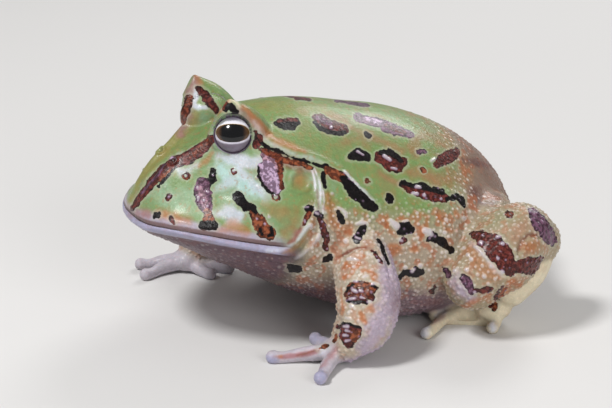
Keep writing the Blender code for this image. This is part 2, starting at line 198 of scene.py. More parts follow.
def chainDistance(points, chain, radii):
    # signed distance to a string of round beads joined by cones: under 0 inside
    best = np.full(len(points), 1e9)
    chain = np.asarray(chain, float)
    if len(chain) == 1:
        return np.linalg.norm(points - chain[0], axis=1) - radii[0]
    for a, b, ra, rb in zip(chain, chain[1:], radii, radii[1:]):
        along = b - a
        t = np.clip((points - a) @ along / max(along @ along, 1e-9), 0, 1)
        gap = np.linalg.norm(points - a - t[:, None] * along, axis=1) - (ra + (rb - ra) * t)
        best = np.minimum(best, gap)
    return best


def flattened(points, way, keep):
    # points squashed along a line of sight, so that a shape drawn across it spreads over slanting skin
    return points - np.outer(points @ way, way) * (1 - keep)


def nearby(points, chain, reach):
    low, high = np.min(chain, axis=0) - reach, np.max(chain, axis=0) + reach
    return np.nonzero(((points > low) & (points < high)).all(axis=1))[0]


# Skin form: the flesh nodes swollen over their gaps, made one surface, and drawn back in

skinForm = {
    "voxel": 0.27,
    "swell": 0.36,
    "sharp": 48.0,  # degrees: node edges sharper than this keep their crease
    "joinAngles": (25, 50),  # degrees: triangles this flat and this square become four-sided faces
    "weld": 0.004,
    "fitRounds": 3,  # how often the cage of a node is fitted, and by how much at most
    "fitMove": 0.6,
    "fitShare": 0.9,
    "swellLimit": 2.0,  # how much farther a sharp corner may be pushed out than a flat face
    "soften": 7,
}
eyeNames = ("eye_left", "eye_right")
fleshNames = sorted(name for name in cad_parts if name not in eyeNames)


def evaluatedMesh(obj):
    bpy.context.view_layer.update()
    graph = bpy.context.evaluated_depsgraph_get()
    return bpy.data.meshes.new_from_object(obj.evaluated_get(graph))


def roundedNode(name):
    # the node's mesh with its facets rounded through their own corners, and pushed out a little
    bm = bmesh.new()
    bm.from_mesh(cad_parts[name].data)
    bmesh.ops.remove_doubles(bm, verts=bm.verts, dist=skinForm["weld"] * mm)
    bmesh.ops.recalc_face_normals(bm, faces=bm.faces)
    flat, square = (math.radians(angle) for angle in skinForm["joinAngles"])
    bmesh.ops.join_triangles(bm, faces=bm.faces, angle_face_threshold=flat, angle_shape_threshold=square)
    crease = bm.edges.layers.float.new("crease_edge")
    for edge in bm.edges:
        if len(edge.link_faces) == 2 and edge.calc_face_angle(0) > math.radians(skinForm["sharp"]):
            edge[crease] = 1.0
    mesh = bpy.data.meshes.new("rounded")
    bm.to_mesh(mesh)
    bm.free()
    obj = bpy.data.objects.new("rounded", mesh)
    bpy.context.scene.collection.objects.link(obj)
    modifier = obj.modifiers.new("round", "SUBSURF")
    modifier.levels = modifier.render_levels = 2
    wanted = pointsOf(mesh)
    cage = wanted.copy()
    for _ in range(skinForm["fitRounds"]):  # the rounded surface comes to pass through the corners
        made = evaluatedMesh(obj)
        missed = wanted - pointsOf(made)[: len(wanted)]
        bpy.data.meshes.remove(made)
        length = np.linalg.norm(missed, axis=1, keepdims=True).clip(1e-9)
        cage += missed * np.minimum(1, skinForm["fitMove"] / length) * skinForm["fitShare"]
        setPoints(mesh, cage)
    made = evaluatedMesh(obj)
    bpy.data.objects.remove(obj)
    bm = bmesh.new()
    bm.from_mesh(made)
    bm.normal_update()
    farthest = skinForm["swellLimit"]
    moves = [v.normal * min(v.calc_shell_factor(), farthest) * skinForm["swell"] * mm for v in bm.verts]
    for v, move in zip(bm.verts, moves):
        v.co += move
    bm.to_mesh(made)
    bm.free()
    return made


def largestPiece(mesh):
    # drops the bubbles that lie inside the joined surface
    edges = edgesOf(mesh)
    group = np.arange(len(mesh.vertices))
    while True:
        low = np.minimum(group[edges[:, 0]], group[edges[:, 1]])
        before = group.copy()
        np.minimum.at(group, edges[:, 0], low)
        np.minimum.at(group, edges[:, 1], low)
        group = group[group]
        if (group == before).all():
            break
    keep = group == np.bincount(group).argmax()
    if keep.all():
        return
    bm = bmesh.new()
    bm.from_mesh(mesh)
    bm.verts.ensure_lookup_table()
    bmesh.ops.delete(bm, geom=[bm.verts[i] for i in np.nonzero(~keep)[0]], context="VERTS")
    bm.to_mesh(mesh)
    bm.free()


def buildSkinForm():
    bm = bmesh.new()
    for name in fleshNames:
        made = roundedNode(name)
        bm.from_mesh(made)
        bpy.data.meshes.remove(made)
    mesh = bpy.data.meshes.new("skin")
    bm.to_mesh(mesh)
    bm.free()
    skin = bpy.data.objects.new("skin", mesh)
    bpy.context.scene.collection.objects.link(skin)
    modifier = skin.modifiers.new("one", "REMESH")
    modifier.mode = "VOXEL"
    modifier.voxel_size = skinForm["voxel"] * mm
    joined = evaluatedMesh(skin)
    skin.modifiers.clear()
    skin.data = joined
    largestPiece(joined)
    edges = edgesOf(joined)
    setPoints(joined, blurred(pointsOf(joined), edges, skinForm["soften"]))
    points = pointsOf(joined) - normalsOf(joined) * skinForm["swell"]
    setPoints(joined, blurred(points, edges, 2))
    return skin


# Where things lie on the skin


class SkinMap:
    # the smooth skin form, for finding what a pixel of the photograph shows
    def __init__(self, obj):
        self.tree = BVHTree.FromObject(obj, bpy.context.evaluated_depsgraph_get())

    def atPixel(self, pixel):
        start, way = pixelRay(pixel)
        place = self.tree.ray_cast(start * mm, way)[0]
        if place is None:  # just past the outline: the skin nearest to the ray
            reach = cameraView["distance"]
            along = [start + way * (reach + step) for step in range(-50, 51, 2)]
            tries = [self.tree.find_nearest(point * mm) for point in along]
            place = min(tries, key=lambda found: found[3])[0]
        return np.array(place) / mm

    def nearest(self, point):
        return np.array(self.tree.find_nearest(Vector(point) * mm)[0]) / mm


# the frog's middle plane lies half way between its eyes
midPlane = sum(float(corner.x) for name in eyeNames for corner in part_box(name)) / 4 / mm


def mirroredPoint(point):
    return np.array((2 * midPlane - point[0], point[1], point[2]))


def treeOf(*names):
    # one search tree over these nodes, and which of them each face belongs to
    corners, faces, owner = [], [], []
    for index, name in enumerate(names):
        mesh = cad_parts[name].data
        first = len(corners)
        corners += [v.co.copy() for v in mesh.vertices]
        faces += [[first + i for i in polygon.vertices] for polygon in mesh.polygons]
        owner += [index] * len(mesh.polygons)
    return BVHTree.FromPolygons(corners, faces), np.array(owner)


def nodeAt(points):
    tree, owner = treeOf(*fleshNames)
    found = [tree.find_nearest(Vector(p))[2] for p in points * mm]
    return owner[np.array(found)]


def distanceTo(name, points):
    tree = treeOf(name)[0]
    return np.array([tree.find_nearest(Vector(p))[3] for p in points * mm]) / mm


def isOn(nodes, *words):
    # which points lie on a node whose name starts with one of these words
    wanted = [i for i, name in enumerate(fleshNames) if name.startswith(words)]
    return np.isin(nodes, wanted)


# Eyes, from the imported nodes

eyeLook = {
    "gaze": (0.86, -0.40, 0.26),
    "opening": 4.0,  # radius of the gap in the skin
    "skinOver": 0.14,  # how far the skin stands off the eyeball round the gap
    "rimRadius": 4.20,
    "upperRim": (0.50, 0.36),  # across the lid and through it
    "lowerRim": (0.32, 0.28),
    "socketReach": 4.0,  # skin this far outside the eyeball is drawn in behind it
    "socketDepth": 0.8,
}


def eyePlace(word):
    low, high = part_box("eye_" + word)
    centre = np.array((low + high) / 2) / mm
    side = 1 if word == "left" else -1
    gaze = Vector((eyeLook["gaze"][0] * side, *eyeLook["gaze"][1:])).normalized()
    rear = Vector((cameraAxes()[0].x * side, cameraAxes()[0].y, 0))
    rear = (rear - gaze * rear.dot(gaze)).normalized()
    up = gaze.cross(rear) * side
    return centre, (high.z - low.z) / 2 / mm, np.array(gaze), np.array(rear), np.array(up)


# Larger forms of the skin. Places are pixels on the side that the photograph shows

mouthForm = {
    # how far from the mouth line, how wide, and how much it stands out
    "upperLip": (-1.75, 0.7, 0.22),
    "gap": (0.0, 0.3, -0.45),
    "lowerLip": (1.35, 0.85, 0.42),
    "underLip": (3.3, 0.8, -0.30),
    "slit": (0.9, 24),  # half width of the slit that is evened out first, and the rounds
    "cornerPixel": (297, 239),
    "reach": 6.0,  # the distance to the mouth line is followed this far
    # from the corner's place along the trunk: where the form and the tint fade out
    "formFade": (-1.5, 0.8),
    "tintFade": (-5.0, -0.5),
    # from the mouth line: where the tint of either lip starts or ends
    "upperTint": (-2.9, -1.6),
    "lowerTint": (1.7, 2.7),
    "tintWander": 0.4,
    "upperStrength": 0.9,
    "beadless": 3.2,  # the jaw has hardly any beads nearer to the mouth line than this
}
nostrilForm = {
    "pixel": (173, 160.3),
    "ring": (0.95, 0.32, 0.42),  # radius, half width and height
    "hole": (0.55, -1.1),  # radius and depth
}
eardrumForm = {
    "pixel": (300.5, 182),
    "radius": 2.1,
    "sink": -0.28,
    "flat": 0.6,  # the share of the radius that lies flat
    "rim": (1.1, 0.5, 0.22),  # its radius as a share of the eardrum's, its half width and its height
}
foldEnds = (-0.5, 2.5)  # a fold rises to its full height over this distance from its ends
# name: height, half width, and the pixels that the fold runs through
foldForms = {
    "canthalRidge": (0.35, 1.0, (
        (212, 131), (203, 139), (192, 147), (180, 151), (170, 153), (160, 163), (150, 176), (140, 190),
    )),
    "browToShoulder": (0.50, 1.3, (
        (256, 124), (263, 137), (275, 145), (290, 151), (306, 155), (320, 160), (336, 168), (348, 179),
        (360, 192), (375, 206),
    )),
    "belowBrow": (-0.35, 0.6, ((262, 146), (276, 151), (292, 158), (308, 162), (324, 169), (338, 177))),
    "lipCorner": (0.75, 0.75, ((284, 249), (293, 244), (300, 237), (305, 229), (311, 221), (313, 212))),
    "behindCorner": (-0.5, 0.5, ((296, 252), (304, 243), (310, 234), (316, 224), (318, 212))),
    "pleatA": (0.36, 0.34, (
        (311, 168), (314, 177), (315.5, 187), (316, 198), (317, 209), (320, 222), (322, 236),
    )),
    "pleatB": (0.40, 0.34, (
        (315, 168), (319, 178), (321, 189), (321.5, 200), (322.5, 212), (326, 226), (328, 242),
    )),
    "pleatC": (0.36, 0.36, (
        (321, 172), (325, 184), (327, 196), (328, 208), (330, 220), (334, 236), (336, 250),
    )),
    "cornerFold": (0.5, 0.6, ((292, 261), (300, 256), (308, 249), (315, 241), (319, 232))),
    "pleatD": (0.32, 0.45, ((309, 236), (305, 245), (303, 256), (306, 266))),
    "pleatE": (0.34, 0.45, ((316, 232), (313, 243), (312, 254), (315, 266))),
    "pleatF": (0.30, 0.26, ((313, 170), (316.5, 180), (318.5, 190), (319, 200), (319.5, 210))),
    "pleatG": (0.30, 0.26, ((318, 172), (322, 184), (324, 196), (325, 208))),
    "armCap": (-0.5, 0.45, ((335, 259), (341, 256), (349, 251.5), (357, 248), (365, 247.5), (373, 250))),
    "kneeCrease": (-0.55, 0.5, ((547, 240), (538, 236), (529, 235), (522, 241), (519, 250), (515, 258))),
    "shoulderCrease": (-0.65, 0.55, (
        (371, 231), (377, 238), (382, 247), (386, 258), (389, 270), (391, 282),
    )),
    "shoulderFold": (0.5, 0.6, ((366, 224), (373, 231), (379, 240), (384, 250), (388, 261))),
    "throatFold": (-0.5, 0.7, ((318, 268), (300, 268), (280, 265), (262, 261))),
    "underEyeA": (0.22, 0.35, ((251, 151), (258, 156), (266, 162), (272, 170))),
    "underEyeB": (0.22, 0.35, ((246, 155), (252, 160), (259, 166), (264, 174))),
    "underEyeC": (0.20, 0.35, ((256, 147), (264, 151), (272, 156), (281, 162))),
    "hipFold": (-0.5, 0.9, ((470, 205), (466, 220), (461, 236), (456, 252), (452, 268))),
}
# name: move in pixels (right, down), radius in mm, and the pixel in the middle of what moves
pullForms = {
    "wristFront": ((14, -1), 3.4, (325, 337)),
    "wristUpper": ((3, 0), 2.6, (334, 322)),
    "shinLow": ((0, -8), 2.7, (488, 304)),
    "shinRear": ((-2, -7), 2.7, (508, 294)),
}
meltForm = {"pixel": (492, 193), "radius": 4.0, "rounds": 90}  # the thigh's end runs smoothly into the rump
# name: height, radius and pixel of a broad, low swelling or hollow
swellForms = {
    "cheekMuscle": (0.75, 4.2, (227, 211)),
    "cheekHollow": (-0.60, 3.0, (222, 196)),
    "underEye": (0.45, 3.2, (243, 176)),
    "jawMuscle": (0.55, 4.5, (283, 218)),
    "lowerHollow": (-0.45, 3.2, (246, 218)),
    "snoutSide": (0.35, 4.5, (176, 188)),
    "neckHollow": (-0.8, 3.5, (336, 250)),
    "shoulderBlade": (0.6, 5.0, (352, 206)),
    "browFront": (0.35, 2.6, (213, 121)),
}


def wanderOf(points, size, seed):
    # smooth noise between about -1 and 1
    shift = Vector((seed * 7.3, seed * 3.1, -seed * 5.7))
    return np.array([noise.noise(Vector(p) + shift) for p in points / size])


def bothSides(surface, pixels):
    near = np.array([surface.atPixel(pixel) for pixel in pixels])
    return near, np.array([surface.nearest(mirroredPoint(p)) for p in near])


def bell(x, centre, width):
    return np.exp(-(((x - centre) / width) ** 2))


def formLift(points, surface, lip, cornerY):
    # how far each point stands out of the plain skin form
    lift = np.zeros(len(points))
    fadeStart, fadeEnd = mouthForm["formFade"]
    fade = 1 - smoothStep(cornerY + fadeStart, cornerY + fadeEnd, points[:, 1])
    for name in ("upperLip", "gap", "lowerLip", "underLip"):
        centre, width, height = mouthForm[name]
        lift += height * bell(lip, centre, width) * fade
    for height, width, pixels in foldForms.values():
        for chain in bothSides(surface, pixels):
            near = nearby(points, chain, width * 3)
            gap = chainDistance(points[near], chain, [0] * len(chain))
            ends = np.minimum(distances(points[near], chain[0]), distances(points[near], chain[-1]))
            lift[near] += height * bell(gap, 0, width) * smoothStep(*foldEnds, ends)
    for height, radius, pixel in swellForms.values():
        for (centre,) in bothSides(surface, [pixel]):
            lift += height * bell(distances(points, centre), 0, radius)
    ringRadius, ringWidth, ringHeight = nostrilForm["ring"]
    holeRadius, holeDepth = nostrilForm["hole"]
    for (centre,) in bothSides(surface, [nostrilForm["pixel"]]):
        away = distances(points, centre)
        lift += ringHeight * bell(away, ringRadius, ringWidth) + holeDepth * bell(away, 0, holeRadius)
    radius = eardrumForm["radius"]
    rimShare, rimWidth, rimHeight = eardrumForm["rim"]
    for (centre,) in bothSides(surface, [eardrumForm["pixel"]]):
        away = distances(points, centre)
        lift += eardrumForm["sink"] * (1 - smoothStep(radius * eardrumForm["flat"], radius, away))
        lift += rimHeight * bell(away, radius * rimShare, rimWidth)
    return lift


def pullPlaces(points, surface):
    # parts of the limbs drawn a little across the picture, and their likes on the other side
    right, up = (np.array(axis) for axis in cameraAxes()[:2])
    moved = points.copy()
    for (across, down), radius, pixel in pullForms.values():
        move = (right * across - up * down) / cameraView["pixelsPerMm"]
        near, far = bothSides(surface, [pixel])
        for (centre,), way in ((near, move), (far, move * (-1, 1, 1))):
            moved += bell(distances(points, centre), 0, radius)[:, None] * way
    return moved


def openRoundEyes(points):
    for word in ("left", "right"):
        centre, radius, gaze = eyePlace(word)[:3]
        away = points - centre
        length = np.linalg.norm(away, axis=1).clip(1e-6)
        ahead = away @ gaze
        aside = np.sqrt((length**2 - ahead**2).clip(0))
        inside = (aside < eyeLook["opening"]) & (ahead > 0) & (length < radius + eyeLook["socketReach"])
        points[inside] = centre + away[inside] / length[inside, None] * (radius - eyeLook["socketDepth"])
        shell = radius + eyeLook["skinOver"]
        over = ~inside & (length < shell) & (ahead > -1)
        points[over] = centre + away[over] / length[over, None] * shell
    return points


# Beads and warts of the skin

beadForms = {
    # how far apart, least and largest radius, and height as a share of the radius
    "rough": (0.98, 0.36, 0.66, 0.54),
    "smooth": (3.0, 0.28, 0.56, 0.28),
    "roughLimit": 0.35,  # how rough the skin is where the close beads give way to the few
    "plainLimit": 0.02,  # and where there are none
    "onMarking": (1.5, 1.15),  # beads on a marking: how much farther apart, and how much larger
    "room": (0.8, 1.35),  # the distances between beads vary by these factors
    "dome": 1.4,  # the higher, the more pointed a bead
    "tried": (0.45, 0.08),  # the share of the skin's points tried as places for the close beads and the few
    # how pale the bead tops are: partly their own colour, partly painted highlight
    "paleTopAndHighlight": ((0.2, 1.0), (0.1, 0.6)),
    "smallShare": 1.6,  # the higher, the more of the close beads are small
    "wartGrow": (1.1, 1.15),  # how much wider and higher than below the single warts are
}
# name: radius, height and pixel of a wart that stands out by itself
wartPlaces = {
    "cheekRing": (0.75, 0.32, (234, 171)),
    "snoutRing": (0.7, 0.25, (186, 176)),
    "snoutDot": (0.5, 0.25, (165, 187)),
    "cheekGreenDot": (0.6, 0.25, (258, 187)),
    "cheekLowRing": (0.8, 0.25, (276, 197)),
    "cheekWhiteA": (0.5, 0.3, (248, 168)),
    "cheekWhiteB": (0.45, 0.3, (257, 178)),
    "cheekWhiteC": (0.5, 0.3, (226, 218)),
    "snoutBrownDot": (0.6, 0.25, (169, 197)),
    "jawDotA": (0.5, 0.25, (269, 216)),
}
# name: height, and the pixels with radii in pixels, of a large wet wart that stays pale on a marking too;
# its pale top is partly the wart's own colour and partly a painted highlight
paleWartsAndHighlights = {
    "shoulderA": (0.35, ((345, 172.5, 1.2), (348, 175, 1.0))),
    "shoulderB": (0.35, ((349, 178.5, 0.8), (354, 181.5, 1.1), (358, 185, 1.0))),
    "neckA": (0.45, ((338, 207.5, 0.7), (342, 209.5, 1.3), (345, 213, 1.8), (345.5, 216.5, 1.0))),
    "neckB": (0.45, ((357, 223.5, 1.2), (361, 222.6, 2.2), (366, 223, 1.2))),
    "neckC": (0.30, ((356, 237.5, 1.2), (360, 239, 1.3))),
    "neckD": (0.30, ((303.5, 207, 1.0), (308, 207, 0.9))),
    "neckE": (0.30, ((315.5, 212.5, 1.2), (318, 214, 1.0))),
    "neckF": (0.35, ((346, 241, 2.2),)),
    "neckG": (0.35, ((319, 235, 1.8), (318, 238, 1.6))),
    "neckH": (0.30, ((311, 225, 1.5), (311, 228, 1.4))),
    "neckI": (0.30, ((332, 193.5, 1.7),)),
    "neckJ": (0.25, ((322, 221.5, 1.1),)),
    "neckK": (0.30, ((304.5, 220, 0.9), (305, 222, 0.8))),
    "flankA": (0.60, ((390.5, 220.5, 1.8), (393, 223, 2.8), (396.5, 226, 3.4))),
    "flankB": (0.35, ((402.5, 221.5, 0.9), (407, 220.5, 0.9))),
    "flankC": (0.55, ((425, 230.5, 2.2), (429, 232, 3.2), (431, 234.5, 2.0))),
    "flankD": (0.40, ((446, 219.5, 2.0),)),
    "flankE": (0.35, ((400, 240, 1.4), (402, 241, 1.1))),
    "flankF": (0.35, ((405, 267.5, 1.8),)),
    "flankG": (0.40, ((412, 271, 1.9), (414, 269, 1.5))),
    "flankH": (0.35, ((420, 265.5, 1.7),)),
    "flankI": (0.30, ((417, 213, 1.3),)),
    "flankJ": (0.30, ((444, 232.5, 1.5),)),
    "flankK": (0.30, ((446, 252, 1.2),)),
    "flankL": (0.30, ((464, 218.5, 1.9),)),
    "flankM": (0.30, ((464, 248, 1.6),)),
    "flankN": (0.30, ((468, 255, 1.8),)),
    "blotchA": (0.30, ((197.5, 187.5, 1.2),)),
    "blotchB": (0.30, ((204, 200.5, 1.4),)),
    "blotchC": (0.25, ((198.5, 197.5, 0.9), (198, 201, 0.8))),
    "blotchD": (0.30, ((207.5, 206, 1.1),)),
    "blotchE": (0.30, ((213, 175.5, 1.3),)),
    "blotchF": (0.25, ((208, 192, 1.0),)),
    "rustA": (0.25, ((257, 219, 1.0),)),
    "rustB": (0.25, ((265, 224, 1.2),)),
    "rustC": (0.20, ((269, 217, 1.3),)),
    "spotB": (0.20, ((331, 127.5, 1.2),)),
    "spotC": (0.25, ((357, 151.5, 1.2), (363, 155, 1.0))),
    "spotD": (0.25, ((384, 156, 1.2), (390, 160, 1.4))),
    "rearA": (0.30, ((412, 193.5, 1.0), (417, 194, 1.4))),
    "rearB": (0.30, ((416, 187, 1.2), (420, 187.5, 1.0))),
    "rearC": (0.30, ((424, 195.5, 1.5),)),
    "rearD": (0.30, ((441, 199, 1.5),)),
    "backA": (0.25, ((431, 161.5, 1.0), (435, 159, 1.0))),
    "backB": (0.25, ((396, 169, 1.0), (391, 168, 0.8))),
    "armA": (0.30, ((353, 290, 1.5), (357, 292, 1.3))),
    "armB": (0.30, ((360, 290.5, 1.5), (363, 291.5, 1.0))),
    "armC": (0.35, ((350, 299, 1.3), (355, 298.5, 1.3))),
    "armD": (0.30, ((361, 297.5, 1.2), (364, 298, 1.0))),
    "armE": (0.30, ((368, 302, 1.1), (371, 302, 1.0))),
    "armF": (0.30, ((354, 281, 1.1), (357, 281.5, 1.0))),
    "armG": (0.30, ((373, 284, 1.5), (376, 284, 1.0))),
    "armH": (0.30, ((351, 306, 1.6), (353, 307, 1.4))),
    "armI": (0.25, ((350, 311.5, 1.2),)),
    "armJ": (0.30, ((346, 318, 1.2), (350, 318.5, 1.0))),
    "armK": (0.30, ((364, 277, 1.2), (367, 276, 1.0))),
    "armL": (0.30, ((348, 259, 1.2), (353, 259, 1.3), (358, 260, 1.0))),
    "armM": (0.30, ((378, 261, 1.5),)),
    "armN": (0.25, ((368, 254, 1.0), (371, 255, 1.0))),
    "armO": (0.25, ((354, 267, 1.0),)),
    "wristA": (0.35, ((344, 326.5, 1.2), (348, 326.5, 1.3))),
    "wristB": (0.30, ((346, 330.5, 1.2), (350, 331.5, 0.9))),
    "wristC": (0.35, ((344, 335, 1.2), (348, 335.5, 1.1))),
    "wristD": (0.25, ((346, 341, 1.0), (350, 340, 0.8))),
    "thighA": (0.40, ((481, 242.5, 2.0),)),
    "thighB": (0.40, ((497, 237, 1.6), (500, 236.5, 1.4))),
    "thighC": (0.35, ((503, 243.5, 1.9),)),
    "thighD": (0.40, ((498, 258.5, 1.8),)),
    "thighE": (0.40, ((475, 247, 1.3), (480, 251, 1.3), (484, 256, 1.0))),
    "thighF": (0.40, ((491, 266, 1.8),)),
    "thighG": (0.45, ((502, 272, 2.2),)),
    "thighH": (0.40, ((484, 276.5, 1.9),)),
    "thighI": (0.35, ((488, 283.5, 1.6),)),
    "thighJ": (0.30, ((471, 259, 1.8),)),
    "thighK": (0.30, ((467, 270, 1.7),)),
    "thighL": (0.30, ((495, 279, 1.3),)),
    "kneeA": (0.35, ((455, 271, 1.8),)),
    "kneeB": (0.35, ((474.5, 292, 1.7),)),
}
# name: radius in mm and pixel of a place with hardly any beads
smoothPlaces = {
    "hip": (5.0, (492, 193)),
    "rump": (6.0, (486, 172)),
}


def scattered(points, spacing, chances, seed):
    # picks points that keep their own spacing from each other
    rng = np.random.default_rng(seed)
    order = rng.permutation(len(points))[: int(len(points) * chances)]
    room = spacing * rng.uniform(*beadForms["room"], len(points))
    cell = float(spacing[order].max()) * beadForms["room"][1]
    grid, kept = {}, []
    for i in order:
        place = points[i]
        key = tuple((place // cell).astype(int))
        near = [
            j
            for dx in (-1, 0, 1)
            for dy in (-1, 0, 1)
            for dz in (-1, 0, 1)
            for j in grid.get((key[0] + dx, key[1] + dy, key[2] + dz), ())
        ]
        if near and (distances(points[near], place) < room[i]).any():
            continue
        grid.setdefault(key, []).append(i)
        kept.append(i)
    return np.array(kept)


def raiseBeads(points, beads):
    # beads are (place, radius, height, paleness); the result is each point's lift and how pale it is. The
    # pale tops are partly the beads' own colour and partly painted highlight
    tree = KDTree(len(points))
    for i, p in enumerate(points):
        tree.insert(p, i)
    tree.balance()
    lift, crown = np.zeros(len(points)), np.zeros(len(points))
    for place, radius, height, pale in beads:
        for _, i, away in tree.find_range(place, radius):
            dome = (1 - (away / radius) ** 2) ** beadForms["dome"]
            lift[i] = max(lift[i], dome * height)
            crown[i] = max(crown[i], dome * pale)
    return lift, crown


# pale warts: their tops are partly the warts' own pale colour and partly painted highlight
paleWartForm = {
    "reach": 0.6,
    "slope": (0.36, -0.42),  # the distances to its beads where it starts and where it is highest
    "wander": 0.25,
    "crown": 2,  # twice as pale as a bead
}


def raisePaleWartsAndHighlights(points, normals, surface, wander, lift, crown):
    form = paleWartForm
    rng = np.random.default_rng(33)
    for height, pixels in paleWartsAndHighlights.values():
        for chain, radii, eye in placedBeads(surface, pixels, False, rng):
            near, gap = drawnDistance(points, normals, chain, radii, eye, form["reach"])
            dome = smoothStep(*form["slope"], gap + wander[near] * form["wander"])
            lift[near] = np.maximum(lift[near], dome * height)
            crown[near] = np.maximum(crown[near], dome * form["crown"])


def addBeads(points, rough, marked, surface):
    rng = np.random.default_rng(11)
    beads = []
    farther, larger = beadForms["onMarking"]
    closeTried, fewTried = beadForms["tried"]
    closePale, fewPale = beadForms["paleTopAndHighlight"]
    grainy = np.nonzero(rough > beadForms["roughLimit"])[0]
    spacing, low, high, share = beadForms["rough"]
    apart = spacing * (1.5 - 0.5 * rough[grainy]) * np.where(marked[grainy] < 0, farther, 1.0)
    for i in grainy[scattered(points[grainy], apart, closeTried, 3)]:
        radius = low + (high - low) * rng.random() ** beadForms["smallShare"]
        radius *= larger if marked[i] < 0 else 1.0
        beads.append((points[i], radius, radius * share * rough[i], rng.uniform(*closePale)))
    plain = np.nonzero((rough <= beadForms["roughLimit"]) & (rough > beadForms["plainLimit"]))[0]
    spacing, low, high, share = beadForms["smooth"]
    for i in plain[scattered(points[plain], np.full(len(plain), spacing), fewTried, 5)]:
        radius = rng.uniform(low, high)
        beads.append((points[i], radius, radius * share, rng.uniform(*fewPale)))
    wider, higher = beadForms["wartGrow"]
    for radius, height, pixel in wartPlaces.values():
        for (place,) in bothSides(surface, [pixel]):
            beads.append((place, radius * wider, height * higher, 1.0))
    return raiseBeads(points, beads)


# Markings: strings of round beads, each given by its pixel and its radius in pixels

